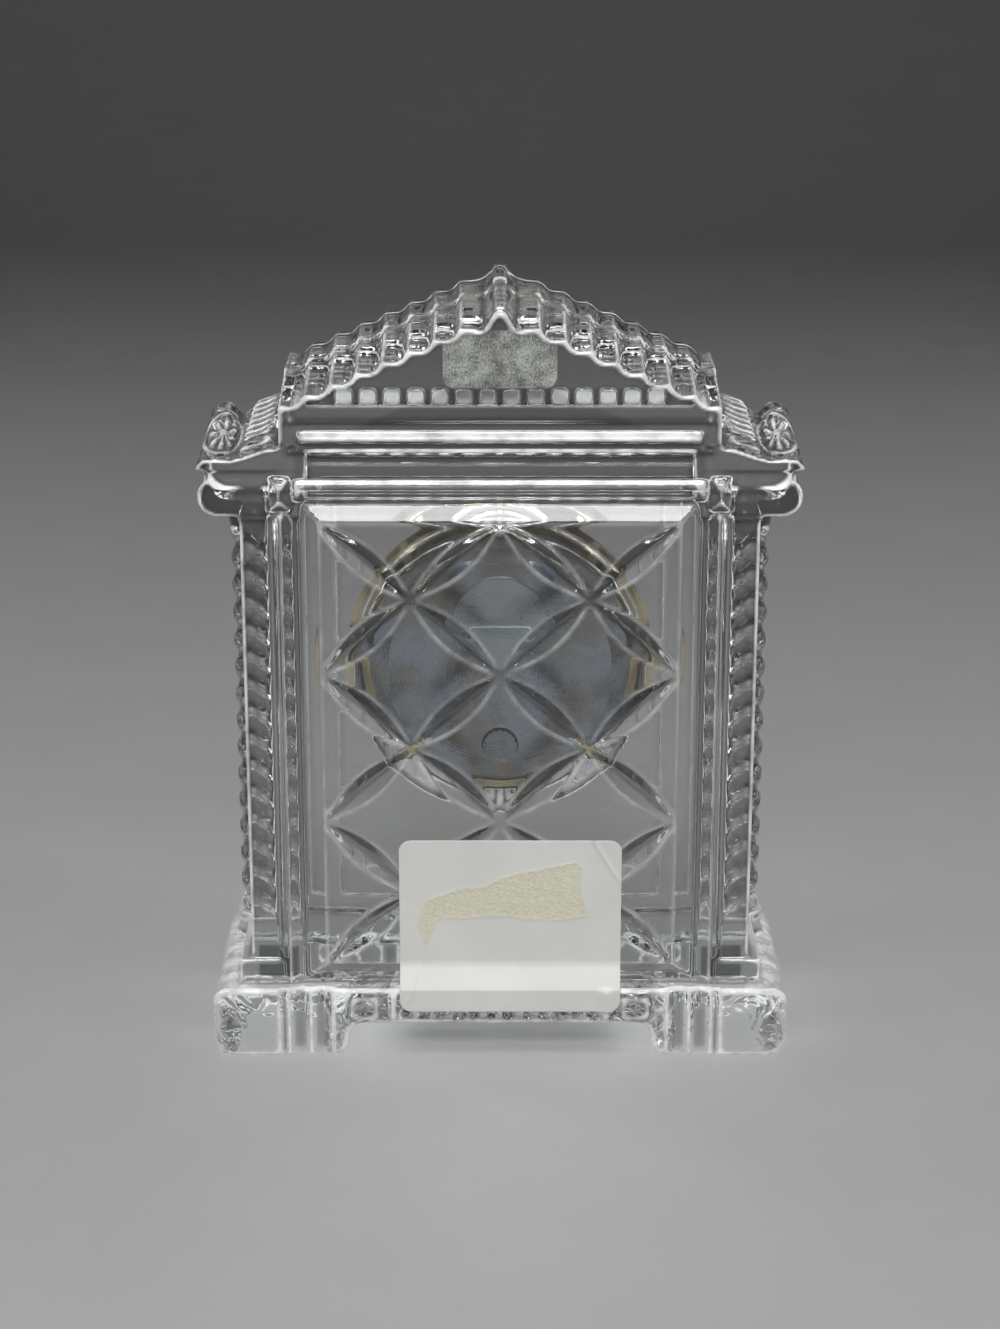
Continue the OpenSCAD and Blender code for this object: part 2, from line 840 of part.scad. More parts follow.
// Sizes of teeth, from the centre distances
cannon_teeth = 12;
minute_teeth = 36;
minute_pinion_teeth = 10;
hour_teeth = 40;
setting_teeth = 13;
motion_size = 2 * motion_centre / (cannon_teeth + minute_teeth);
hour_size = 2 * motion_centre / (minute_pinion_teeth + hour_teeth);
seconds_pinion_teeth = 8;
third_teeth = 60;
third_pinion_teeth = 8;
centre_teeth = 64;
third_size = 2 * third_centre / (seconds_pinion_teeth + third_teeth);
centre_size = 2 * third_centre / (third_pinion_teeth + centre_teeth);
seconds_teeth = 40;
step_pinion_teeth = 8;
step_teeth = 48;
rotor_teeth = 8;
step_pinion_size = 2 * step_centre / (seconds_teeth + step_pinion_teeth);
rotor_size = 0.12;
rotor_centre = rotor_size * (step_teeth + rotor_teeth) / 2;

// Directions of the arbors, anticlockwise from the right as seen from behind
third_angle = 215;
step_angle = -35;
rotor_angle = -20;
minute_angle = -90;

function polar(r, a) = [r * cos(a), r * sin(a), 0];
third_at = polar(third_centre, third_angle);
step_at = polar(step_centre, step_angle);
rotor_at = step_at + polar(rotor_centre, rotor_angle);
minute_at = polar(motion_centre, minute_angle);
setting_at = minute_at + polar(motion_size * (minute_teeth + setting_teeth) / 2, minute_angle);

// Bezel with a rounded outer edge
bezel_flat_in = 1.6;
bezel_lip_share = 0.7;
bezel_round_w = [1.9, 0.9, 0.25];
bezel_round_share = [1, 0.86, 0.55];
bezel_foot_share = 0.25;

module bezel() {
    color([0.83, 0.67, 0.35])
        at_clock()
            rotate_extrude()
                polygon([
                    [dial_r + 2 * seat, -bezel_h + lip_t],
                    [lip_r, -bezel_h + lip_t],
                    [lip_r, -bezel_h + lip_t * bezel_lip_share],
                    [lip_r + bezel_flat_in, -bezel_h],
                    for (i = [0 : len(bezel_round_w) - 1])
                        [bezel_r - bezel_round_w[i], -bezel_h * bezel_round_share[i]],
                    [bezel_r, -bezel_h * bezel_foot_share],
                    [bezel_r, -seat],
                    [skirt_r, -seat],
                    [skirt_r, skirt_end],
                    [dial_r - crimp_w, skirt_end],
                    [dial_r - crimp_w, can_flange_z[1] + seat],
                    [dial_r + 2 * seat, can_flange_z[1] + seat]
                ]);
}

grip_fins = 3;
grip_z = [0.5, 4.7];
grip_t = 0.5;
fin_share = 0.45;

module grip_ring() {
    color([0.12, 0.12, 0.12])
        at_clock() {
            ring(skirt_r + seat + grip_t, skirt_r + seat, grip_z[0], grip_z[1]);
            pitch = (grip_z[1] - grip_z[0]) / grip_fins;
            for (i = [0 : grip_fins - 1])
                ring(
                    bore_r - running, skirt_r + seat + grip_t / 2,
                    grip_z[0] + pitch * i, grip_z[0] + pitch * (i + fin_share)
                );
        }
}

module lens() {
    z0 = -bezel_h + lip_t + seat;
    steps = 12;
    color([0.9, 0.93, 0.95])
        at_clock()
            rotate_extrude()
                polygon(concat(
                    [[0, lens_back], [dial_r, lens_back], [dial_r, z0]],
                    [
                        for (i = [steps : -1 : 0])
                            let (s = i / steps)
                            [(lip_r - 2 * seat) * s, z0 - lens_dome * (1 - s * s)]
                    ]
                ));
}

reflector_w = [0.4, 1.8];

module reflector_ring() {
    color([0.85, 0.7, 0.4])
        at_clock()
            rotate_extrude()
                polygon([
                    [dial_r, lens_back + seat],
                    [lip_r - reflector_w[0], lens_back + seat],
                    [lip_r - reflector_w[1], dial_z[0] - seat],
                    [dial_r, dial_z[0] - seat]
                ]);
}

module dial() {
    color([0.96, 0.95, 0.92])
        at_clock()
            ring(dial_r, bush_r + running, dial_z[0], dial_z[1]);
}

// Length, width, width at the tip, radius of the hub and length of the tail of each hand
hand_share = [0.522, 0.783, 0.823];
hour_hand_size = [hand_share[0] * dial_r, 1.5, 0.5, 2.3, 0];
minute_hand_size = [hand_share[1] * dial_r, 1.2, 0.4, 1.9, 0];
second_hand_size = [hand_share[2] * dial_r, 0.5, 0.3, 1.2, 5.5];
second_boss_r = 0.9;
blade_share = 0.7;
hand_t = 0.25;
hour_hand_z = 0.7;
minute_hand_z = 0.1;
second_hand_z = -0.6;
hour_hand_angle = 35;
minute_hand_angle = 150;
second_hand_angle = 306;

// A hand with a round hub, a tapering blade and a tail
module hand(size, bore, z, angle) {
    shoulder = size[0] * blade_share;
    half = size[1] / 2;
    tip = size[2] / 2;
    tail = size[4];
    rotate([0, 0, angle])
        translate([0, 0, z])
            difference() {
                union() {
                    cylinder(r = size[3], h = hand_t);
                    linear_extrude(hand_t)
                        polygon([
                            [-tail, -half], [shoulder, -half], [size[0], -tip],
                            [size[0], tip], [shoulder, half], [-tail, half]
                        ]);
                }
                translate([0, 0, -overrun])
                    cylinder(r = bore, h = hand_t + 2 * overrun);
            }
}

module hour_hand() {
    color("black")
        at_clock()
            hand(hour_hand_size, hour_pipe_r + seat, hour_hand_z, hour_hand_angle);
}

module minute_hand() {
    color("black")
        at_clock()
            hand(minute_hand_size, minute_tube_r + seat, minute_hand_z, minute_hand_angle);
}

module second_hand() {
    color("black")
        at_clock() {
            hand(second_hand_size, second_arbor_r + seat, second_hand_z, second_hand_angle);
            ring(second_boss_r, second_arbor_r + seat, second_hand_z - hand_t / 2, second_hand_z);
        }
}

nut_r = 4;
nut_h = 0.6;

module dial_nut() {
    color([0.8, 0.68, 0.4])
        at_clock()
            difference() {
                rod(nut_r, dial_z[0] - nut_h, dial_z[0] - seat, $fn = 6);
                rod(bush_r + seat, 0, plate_z);
            }
}

module movement_ring() {
    color([0.9, 0.9, 0.88])
        at_clock()
            ring(dial_r, plate_r + running, dial_z[1] + seat, can_flange_z[0] - seat);
}

// Plates
post_r = 1.6;
pin_r = 1.1;
screw_r = 0.6;
screw_head_r = 1.7;
screw_head_h = 0.55;
screw_depth = 4;
screw_end_gap = 0.5;
post_in = 2.5;
post_places = [for (a = [60, 120, 240, 300]) polar(plate_r - post_in, a)];
plate_step = 0.2;
hole_floor = 0.5;
arbor_z = dial_z[1] + hole_floor + 2 * running;
end_play = 0.15;
cell_gap = 0.7;

module front_plate() {
    color([0.16, 0.16, 0.17])
        at_clock()
            difference() {
                union() {
                    rod(plate_r, dial_z[1] + seat, plate_z);
                    rod(bush_r, hour_hand_z + hand_t + running, plate_z);
                    for (p = post_places)
                        translate(p) {
                            rod(post_r, plate_z - embed, middle_z[0] - seat);
                            rod(pin_r, middle_z[0] - embed, rear_z[0] - seat);
                        }
                }
                rod(hour_pipe_r + running, 0, plate_z + overrun);
                for (p = [minute_at, third_at])
                    translate(p)
                        rod(small_arbor_r + running, dial_z[1] + hole_floor, plate_z + overrun);
                translate(setting_at)
                    rod(setting_arbor_r + running, dial_z[1] + hole_floor, plate_z + overrun);
                for (p = post_places)
                    translate(p)
                        rod(screw_r + seat, rear_z[0] - screw_depth, rear_z[0] + overrun);
            }
}

module middle_plate() {
    color([0.25, 0.25, 0.27])
        at_clock()
            difference() {
                rod(plate_r - plate_step, middle_z[0], middle_z[1]);
                rod(second_arbor_r + running, 0, rear_z[0]);
                for (p = [minute_at, step_at])
                    translate(p)
                        rod(small_arbor_r + running, 0, rear_z[0]);
                translate(third_at)
                    rod(centre_size * (third_pinion_teeth / 2 + tip_add) + 2 * running, 0, rear_z[0]);
                translate(rotor_at)
                    rod(rotor_arbor_r + running, 0, rear_z[0]);
                translate(setting_at)
                    rod(setting_arbor_r + running, 0, rear_z[0]);
                for (p = post_places)
                    translate(p)
                        rod(pin_r + running, 0, rear_z[0]);
            }
}

module rear_plate() {
    color([0.2, 0.2, 0.22])
        at_clock()
            difference() {
                rod(plate_r - plate_step, rear_z[0], rear_z[1]);
                rod(second_arbor_r + running, 0, can_back_z);
                for (p = [third_at, step_at])
                    translate(p)
                        rod(small_arbor_r + running, 0, can_back_z);
                translate(rotor_at)
                    rod(rotor_arbor_r + running, 0, can_back_z);
                translate(setting_at)
                    rod(setting_arbor_r + running, 0, can_back_z);
                translate([0, cell_y, 0])
                    rod(cell_r + cell_gap, 0, can_back_z);
                for (p = post_places)
                    translate(p)
                        rod(screw_r + seat, 0, can_back_z);
            }
}

module plate_screws() {
    color("silver")
        at_clock()
            for (p = post_places)
                translate(p)
                    screw(rear_z[1], screw_head_r, screw_head_h, screw_r, screw_depth - screw_end_gap);
}

// A slotted screw whose head stands on the level z
module screw(z, head_r, head_h, r, depth) {
    difference() {
        union() {
            rod(head_r, z + seat, z + head_h);
            rod(r, z - depth, z + head_h - seat);
        }
        translate([0, 0, z + head_h])
            cube([2 * head_r + overrun, head_r / 4, head_h], center = true);
    }
}

// Motion work between the front and middle plates
module hour_wheel() {
    color([0.9, 0.85, 0.6])
        at_clock()
            difference() {
                union() {
                    rotate([0, 0, minute_angle])
                        translate([0, 0, hour_wheel_z[0]])
                            gear(hour_teeth, hour_size, hour_wheel_z[1] - hour_wheel_z[0]);
                    rod(hour_pipe_r, hour_hand_z, hour_wheel_z[1]);
                }
                rod(minute_tube_r + running, 0, plate_z + 2 * overrun);
            }
}

module minute_wheel() {
    color([0.92, 0.9, 0.8])
        at_clock()
            translate(minute_at)
                rotate([0, 0, minute_angle + 180]) {
                    rotate([0, 0, 180 / minute_teeth])
                        translate([0, 0, minute_wheel_z[0]])
                            gear(minute_teeth, motion_size, minute_wheel_z[1] - minute_wheel_z[0]);
                    rotate([0, 0, 180 / minute_pinion_teeth])
                        translate([0, 0, plate_z + end_play])
                            gear(
                                minute_pinion_teeth, hour_size,
                                minute_wheel_z[0] - plate_z - end_play + seat
                            );
                    rod(small_arbor_r, arbor_z, middle_z[1]);
                }
}

pinion_gap = 0.25;

module cannon_pinion() {
    color([0.75, 0.76, 0.78])
        at_clock()
            difference() {
                union() {
                    rod(minute_tube_r, minute_hand_z, middle_z[0] - running);
                    rotate([0, 0, minute_angle])
                        translate([0, 0, hour_wheel_z[1] + pinion_gap])
                            gear(
                                cannon_teeth, motion_size,
                                centre_wheel_z[0] - hour_wheel_z[1] - 2 * pinion_gap
                            );
                }
                rod(second_arbor_r + running, 0, middle_z[1]);
            }
}

knob_z = [12.4, 14.9];
knurls = 18;
knurl_r = 0.35;
knurl_out = 0.15;
knob_slot_w = 0.7;
knob_slot_depth = 0.5;
setting_over = 0.2;

module setting_knob() {
    color([0.1, 0.1, 0.1])
        at_clock()
            translate(setting_at) {
                rotate([0, 0, minute_angle + 180])
                    translate([0, 0, minute_wheel_z[0] - setting_over])
                        gear(
                            setting_teeth, motion_size,
                            minute_wheel_z[1] - minute_wheel_z[0] + 2 * setting_over
                        );
                rod(setting_arbor_r, arbor_z, knob_z[0] + embed);
                difference() {
                    rod(knob_r, knob_z[0], knob_z[1]);
                    for (i = [0 : knurls - 1])
                        rotate([0, 0, i * 360 / knurls])
                            translate([knob_r + knurl_out, 0, 0])
                                rod(knurl_r, knob_z[0] - overrun, knob_z[1] + overrun, $fn = 24);
                    translate([0, 0, knob_z[1]])
                        cube([1.6 * knob_r, knob_slot_w, 2 * knob_slot_depth], center = true);
                }
            }
}

// Going train
centre_boss_r = 1.6;

module centre_wheel() {
    color([0.9, 0.8, 0.5])
        at_clock()
            difference() {
                union() {
                    rotate([0, 0, third_angle + 180 / centre_teeth])
                        translate([0, 0, centre_wheel_z[0]])
                            gear(centre_teeth, centre_size, centre_wheel_z[1] - centre_wheel_z[0]);
                    rod(centre_boss_r, centre_wheel_z[0], middle_z[0] - 2 * running);
                }
                rod(minute_tube_r + running, 0, rear_z[0]);
            }
}

module third_wheel() {
    color([0.92, 0.9, 0.85])
        at_clock()
            translate(third_at)
                rotate([0, 0, third_angle + 180]) {
                    rotate([0, 0, 180 / third_teeth])
                        translate([0, 0, third_wheel_z[0]])
                            gear(third_teeth, third_size, third_wheel_z[1] - third_wheel_z[0]);
                    translate([0, 0, centre_wheel_z[0] - 2 * running])
                        gear(
                            third_pinion_teeth, centre_size,
                            third_wheel_z[0] - centre_wheel_z[0] + embed / 2
                        );
                    rod(small_arbor_r, arbor_z, rear_z[1]);
                }
}

module seconds_wheel() {
    color([0.93, 0.9, 0.8])
        at_clock() {
            rotate([0, 0, step_angle])
                translate([0, 0, seconds_wheel_z[0]])
                    gear(seconds_teeth, step_pinion_size, seconds_wheel_z[1] - seconds_wheel_z[0]);
            rotate([0, 0, third_angle])
                translate([0, 0, third_wheel_z[0] - 2 * running])
                    gear(seconds_pinion_teeth, third_size, seconds_wheel_z[0] - third_wheel_z[0] + embed / 2);
            rod(second_arbor_r, second_hand_z - hand_t / 2, rear_z[1]);
        }
}

module step_wheel() {
    color([0.92, 0.92, 0.9])
        at_clock()
            translate(step_at) {
                rotate([0, 0, step_angle + 180 + 180 / step_pinion_teeth])
                    translate([0, 0, seconds_wheel_z[0] - 2 * running])
                        gear(
                            step_pinion_teeth, step_pinion_size,
                            step_wheel_z[0] - seconds_wheel_z[0] + embed / 2
                        );
                rotate([0, 0, rotor_angle])
                    translate([0, 0, step_wheel_z[0]])
                        gear(step_teeth, rotor_size, step_wheel_z[1] - step_wheel_z[0]);
                rod(small_arbor_r, middle_z[0] + 2 * running, rear_z[1]);
            }
}

magnet_r = 1.35;
magnet_z = [7.8, 9.2];
module rotor() {
    color([0.35, 0.35, 0.37])
        at_clock()
            translate(rotor_at) {
                rod(magnet_r, magnet_z[0], magnet_z[1]);
                rod(rotor_arbor_r, middle_z[0] + 2 * running, rear_z[1]);
                rotate([0, 0, rotor_angle + 180 + 180 / rotor_teeth])
                    translate([0, 0, magnet_z[1] - seat])
                        gear(rotor_teeth, rotor_size, step_wheel_z[1] + 2 * running - magnet_z[1] + seat);
            }
}

// Stepping motor: a C-shaped stator whose ends carry the coil core
stator_z = [8.1, 8.9];
stator_ring_r = 2.45;
stator_bore_r = 1.75;
stator_neck = 3.4;
leg_share = [0.434, 0.556];
leg_x = leg_share * plate_r;
leg_y_share = [0.44, 0.55];
leg_y = leg_y_share * plate_r;
core_share = 0.707;
core_x = core_share * plate_r;
coil_core_w = 1.4;
core_z = [8.92, 9.5];
arm_end = 1.6;
arm_end_x = core_x + arm_end;
pole_w = 2 * (arm_end_x - core_x);

module stator() {
    color([0.6, 0.6, 0.62])
        at_clock()
            difference() {
                translate([0, 0, stator_z[0]])
                    linear_extrude(stator_z[1] - stator_z[0]) {
                        translate([rotor_at[0], rotor_at[1]])
                            circle(stator_ring_r);
                        translate([rotor_at[0], rotor_at[1] - stator_neck / 2])
                            square([leg_x[0] - rotor_at[0] + embed, stator_neck]);
                        translate([leg_x[0], -leg_y[1]])
                            square([leg_x[1] - leg_x[0], 2 * leg_y[1]]);
                        for (y = [-leg_y[1], leg_y[0]])
                            translate([leg_x[0], y])
                                square([arm_end_x - leg_x[0], leg_y[1] - leg_y[0]]);
                    }
                translate(rotor_at)
                    rod(stator_bore_r, 0, rear_z[0]);
                for (y = [-1, 1])
                    translate([core_x, y * (leg_y[0] + leg_y[1]) / 2, 0])
                        rod(screw_r + seat, 0, rear_z[0]);
            }
}

module coil_core() {
    color([0.55, 0.55, 0.57])
        at_clock()
            difference() {
                union() {
                    translate([core_x - coil_core_w / 2, -leg_y[0], core_z[0]])
                        cube([coil_core_w, 2 * leg_y[0], core_z[1] - core_z[0]]);
                    for (y = [-leg_y[1], leg_y[0] - embed])
                        translate([core_x - pole_w / 2, y, core_z[0]])
                            cube([pole_w, leg_y[1] - leg_y[0] + embed, core_z[1] - core_z[0]]);
                }
                for (y = [-1, 1])
                    translate([core_x, y * (leg_y[0] + leg_y[1]) / 2, 0])
                        rod(screw_r + seat, 0, rear_z[0]);
            }
}

bobbin_gap = 1.1;
bobbin_y = leg_y[0] - bobbin_gap;
bobbin_r = 1.7;
bobbin_tube_r = 1;
flange_t = 0.5;
coil_gap = 0.1;

module along_coil() {
    translate([core_x, 0, (core_z[0] + core_z[1]) / 2])
        rotate([90, 0, 0])
            children();
}

module coil_bobbin() {
    color([0.15, 0.15, 0.15])
        at_clock()
            difference() {
                along_coil() {
                    rod(bobbin_tube_r, -bobbin_y, bobbin_y);
                    for (z = [-bobbin_y, bobbin_y - flange_t])
                        rod(bobbin_r, z, z + flange_t);
                }
                translate([core_x, 0, (core_z[0] + core_z[1]) / 2])
                    cube(
                        [coil_core_w + 2 * seat, 3 * bobbin_y, core_z[1] - core_z[0] + 2 * seat],
                        center = true
                    );
            }
}

module coil() {
    color([0.72, 0.4, 0.2])
        at_clock()
            along_coil()
                ring(
                    bobbin_r - coil_gap, bobbin_tube_r + seat,
                    -bobbin_y + flange_t + seat, bobbin_y - flange_t - seat
                );
}

stator_screw_head_r = 1;
stator_screw_head_h = 0.5;

module stator_screws() {
    color("silver")
        at_clock()
            for (y = [-1, 1])
                translate([core_x, y * (leg_y[0] + leg_y[1]) / 2, 0])
                    screw(
                        core_z[1], stator_screw_head_r, stator_screw_head_h,
                        screw_r, core_z[1] - stator_z[0] - 2 * running
                    );
}

// Electronics
board_z = [7.5, 8.3];
board_in = 0.8;
board_r = plate_r - board_in;
board_gap = 0.4;
// The board keeps clear of the third wheel
board_x = third_at[0] - third_size * (third_teeth / 2 + tip_add) - board_gap;

module circuit_board() {
    color([0.1, 0.35, 0.2])
        at_clock()
            difference() {
                rod(board_r, board_z[0], board_z[1]);
                translate([board_x, -board_r - overrun, 0])
                    cube([3 * board_r, 2 * board_r + 2 * overrun, rear_z[0]]);
                for (p = post_places)
                    translate(p)
                        rod(pin_r + board_gap, 0, rear_z[0]);
            }
}

quartz_share = 0.45;
quartz_at = [board_x - quartz_share * (board_r + board_x), -4, 9.35];
quartz_r = 1;
quartz_l = 6.2;

module quartz_can() {
    color("silver")
        at_clock()
            translate(quartz_at)
                rotate([-90, 0, 0])
                    cylinder(r = quartz_r, h = quartz_l);
}

chip_share = 0.37;
chip_at = [board_x - chip_share * (board_r + board_x), 5, 0];
chip_r = [1.8, 1.5, 0.9, 0];
chip_h = [0, 0.4, 0.65, 0.7];

module chip() {
    color([0.05, 0.05, 0.06])
        at_clock()
            translate(chip_at)
                rotate_extrude()
                    polygon([
                        [0, board_z[1] + seat],
                        for (i = [0 : len(chip_r) - 1]) [chip_r[i], board_z[1] + seat + chip_h[i]]
                    ]);
}

cell_z0 = 7.9;
cell_can_t = 0.3;
cell_step = 0.9;

module battery() {
    color([0.78, 0.78, 0.8])
        at_clock()
            translate([0, cell_y, 0]) {
                rod(cell_r - cell_step, cell_z0, cell_z0 + cell_h);
                rod(cell_r, cell_z0 + cell_can_t, cell_z0 + cell_h);
            }
}

leaf_t = 0.15;
leaf_w = 2.4;
leaf_pad_r = 3;
leaf_dome_r = 1.2;

module contact_negative() {
    color([0.8, 0.75, 0.5])
        at_clock() {
            translate([0, cell_y, 0])
                rod(leaf_pad_r, middle_z[1] + seat, middle_z[1] + seat + leaf_t);
            translate([board_x + 2 * seat, cell_y - leaf_w / 2, middle_z[1] + seat])
                cube([-board_x, leaf_w, leaf_t]);
            translate([0, cell_y, 0])
                rod(leaf_dome_r, middle_z[1] + seat, cell_z0 - seat);
        }
}

strip_t = 0.2;
strip_h = 4;
strip_gap = 0.2;
strip_foot = 1.6;

module contact_positive() {
    x0 = -cell_r - strip_gap - strip_t;
    color([0.8, 0.75, 0.5])
        at_clock() {
            translate([board_x - strip_foot, cell_y - leaf_w / 2, board_z[1] + seat])
                cube([x0 - board_x + strip_foot + strip_t, leaf_w, strip_t]);
            translate([x0, cell_y - leaf_w / 2, board_z[1] + seat])
                cube([strip_t, leaf_w, strip_h]);
        }
}

// Can and hatch
hatch_plug_r = 7.3;
hatch_tab_r = 8.2;
hatch_tab_angle = 24;
hatch_plug_z = 12.75;
hatch_tab_z = can_back_z - can_t - running;
hatch_twist = 30;
cell_slip = 0.15;
coin_slot_w = 1.2;
coin_slot_depth = 0.3;

module sector(r, a, z0, z1) {
    intersection() {
        rod(r, z0, z1);
        linear_extrude(z1 + overrun)
            polygon([[0, 0], 2 * r * [cos(-a / 2), sin(-a / 2)], 2 * r * [cos(a / 2), sin(a / 2)]]);
    }
}

module back_can() {
    color([0.7, 0.72, 0.75])
        at_clock()
            difference() {
                union() {
                    rod(dial_r - seat, can_flange_z[0], can_flange_z[1]);
                    rod(can_r, can_flange_z[0], can_back_z);
                }
                rod(can_r - can_t, can_flange_z[0] - overrun, can_back_z - can_t);
                translate([0, cell_y, 0]) {
                    rod(hatch_plug_r + running, 0, can_back_z + overrun);
                    for (side = [0, 180])
                        rotate([0, 0, side + hatch_twist])
                            sector(hatch_tab_r + 2 * running, hatch_tab_angle + 2, 0, can_back_z + overrun);
                }
                translate(setting_at)
                    rod(knob_r + 4 * running, 0, can_back_z + overrun);
            }
}

module battery_hatch() {
    color([0.62, 0.64, 0.68])
        at_clock()
            translate([0, cell_y, 0])
                difference() {
                    union() {
                        rod(hatch_r, can_back_z + running, hatch_z);
                        rod(hatch_plug_r, hatch_plug_z, hatch_z - seat);
                        for (side = [0, 180])
                            rotate([0, 0, side])
                                sector(hatch_tab_r, hatch_tab_angle, hatch_plug_z, hatch_tab_z);
                    }
                    rod(cell_r + cell_slip, 0, cell_z0 + cell_h + seat);
                    translate([0, 0, hatch_z])
                        cube([1.5 * hatch_r, coin_slot_w, 2 * coin_slot_depth], center = true);
                }
}

crystal_body();
back_label();
front_label();
bezel();
grip_ring();
lens();
reflector_ring();
dial();
hour_hand();
minute_hand();
second_hand();
dial_nut();
movement_ring();
front_plate();
middle_plate();
rear_plate();
plate_screws();
hour_wheel();
minute_wheel();
cannon_pinion();
setting_knob();
centre_wheel();
third_wheel();
seconds_wheel();
step_wheel();
rotor();
stator();
coil_core();
coil_bobbin();
coil();
stator_screws();
circuit_board();
quartz_can();
chip();
battery();
contact_negative();
contact_positive();
back_can();
battery_hatch();
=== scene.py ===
"""Looks of the crystal table clock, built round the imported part. Lengths are in metres."""
import math

import bpy
import bmesh
import numpy as np
from mathutils import Matrix, Vector


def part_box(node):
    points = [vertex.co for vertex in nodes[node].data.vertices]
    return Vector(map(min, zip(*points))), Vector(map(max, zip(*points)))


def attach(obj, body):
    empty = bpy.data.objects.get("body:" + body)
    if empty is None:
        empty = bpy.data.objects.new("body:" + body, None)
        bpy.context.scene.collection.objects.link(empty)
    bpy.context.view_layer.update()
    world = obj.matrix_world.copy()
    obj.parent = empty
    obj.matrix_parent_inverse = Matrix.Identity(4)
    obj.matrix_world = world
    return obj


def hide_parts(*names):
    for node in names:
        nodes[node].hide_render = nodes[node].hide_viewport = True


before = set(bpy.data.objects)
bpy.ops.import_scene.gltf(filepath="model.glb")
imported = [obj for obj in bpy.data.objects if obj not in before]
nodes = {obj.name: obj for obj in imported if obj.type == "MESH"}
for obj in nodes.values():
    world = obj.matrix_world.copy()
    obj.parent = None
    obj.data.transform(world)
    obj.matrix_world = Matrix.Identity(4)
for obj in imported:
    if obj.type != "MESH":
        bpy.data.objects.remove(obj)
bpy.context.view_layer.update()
MM = 0.001
SEED = 7


# Places on the clock, from the frame
def low(node):
    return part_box(node)[0]


def high(node):
    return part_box(node)[1]


def axis_of(node):
    """A place on the axis of a round node that faces the back or front."""
    return ((low(node).x + high(node).x) / 2, 0, (low(node).z + high(node).z) / 2)


clock_axis, hatch_axis, knob_axis = axis_of("bezel"), axis_of("battery_hatch"), axis_of("setting_knob")
clock_x, _, clock_z = clock_axis
dial_front = low("dial").y


# Node helpers
def tree_of(name):
    mat = bpy.data.materials.new(name)
    mat.use_nodes = True
    tree = mat.node_tree
    tree.nodes.clear()
    out = tree.nodes.new("ShaderNodeOutputMaterial")
    shader = tree.nodes.new("ShaderNodeBsdfPrincipled")
    tree.links.new(shader.outputs[0], out.inputs["Surface"])
    return mat, tree, shader, out


def add(tree, kind, inputs=None, **settings):
    node = tree.nodes.new("ShaderNode" + kind)
    for key, value in settings.items():
        setattr(node, key, value)
    for key, value in (inputs or {}).items():
        node.inputs[key].default_value = value
    return node


def coords(tree, scale=(1, 1, 1), centre=(0, 0, 0), rotation=(0, 0, 0)):
    """Object coordinates about a centre, turned and stretched."""
    place = add(tree, "TexCoord")
    shift = add(tree, "VectorMath", operation="SUBTRACT")
    shift.inputs[1].default_value = centre
    mapping = add(tree, "Mapping")
    mapping.inputs["Scale"].default_value = scale
    mapping.inputs["Rotation"].default_value = rotation
    tree.links.new(place.outputs["Object"], shift.inputs[0])
    tree.links.new(shift.outputs[0], mapping.inputs["Vector"])
    return mapping.outputs["Vector"]


def noise_of(tree, vector, scale, detail=4.0, rough=0.55, distortion=0.0):
    node = add(tree, "TexNoise", {"Scale": scale, "Detail": detail, "Roughness": rough,
                                  "Distortion": distortion})
    tree.links.new(vector, node.inputs["Vector"])
    return node.outputs["Fac"]


def ramp(tree, value, stops):
    node = add(tree, "ValToRGB")
    elements = node.color_ramp.elements
    while len(elements) < len(stops):
        elements.new(0.5)
    for element, (place, colour) in zip(elements, stops):
        element.position = place
        element.color = (*colour, 1)
    tree.links.new(value, node.inputs["Fac"])
    return node.outputs["Color"]


def spread(tree, value, to_low, to_high, from_low=0.3, from_high=0.7):
    node = add(tree, "MapRange", {"From Min": from_low, "From Max": from_high,
                                  "To Min": to_low, "To Max": to_high})
    tree.links.new(value, node.inputs["Value"])
    return node.outputs["Result"]


def maths(tree, operation, a, b=None):
    node = add(tree, "Math", operation=operation)
    for i, value in enumerate((a, b)):
        if value is None:
            continue
        if isinstance(value, (int, float)):
            node.inputs[i].default_value = value
        else:
            tree.links.new(value, node.inputs[i])
    return node.outputs[0]


def blended(tree, factor, a, b):
    """Colour a where factor is 0, and b where it is 1."""
    node = add(tree, "Mix", data_type="RGBA")
    tree.links.new(factor, node.inputs["Factor"])
    for socket, value in ((node.inputs[6], a), (node.inputs[7], b)):
        if isinstance(value, tuple):
            socket.default_value = (*value, 1)
        else:
            tree.links.new(value, socket)
    return node.outputs[2]


def bump(tree, shader, height, strength, distance, under=None):
    node = add(tree, "Bump", {"Strength": strength, "Distance": distance})
    tree.links.new(height, node.inputs["Height"])
    if under is not None:
        tree.links.new(under, node.inputs["Normal"])
    tree.links.new(node.outputs["Normal"], shader.inputs["Normal"])
    return node.outputs["Normal"]


def shades(colour, change):
    """A darker and a paler tone of a colour."""
    return tuple(c * (1 - change) for c in colour), tuple(min(1, c * (1 + change)) for c in colour)


def mottled(name, colour, change, scale, metallic, rough, bump_mm, **sockets):
    """A surface with a little variation of colour, roughness and height."""
    mat, tree, shader, _ = tree_of(name)
    at = coords(tree)
    fine = noise_of(tree, at, scale)
    broad = noise_of(tree, at, scale / 8, detail=2)
    dark, pale = shades(colour, change)
    tree.links.new(ramp(tree, broad, [(0.3, dark), (0.7, pale)]), shader.inputs["Base Color"])
    tree.links.new(spread(tree, fine, *rough), shader.inputs["Roughness"])
    bump(tree, shader, fine, 0.4, bump_mm * MM)
    shader.inputs["Metallic"].default_value = metallic
    for key, value in sockets.items():
        shader.inputs[key.replace("_", " ")].default_value = value
    return mat


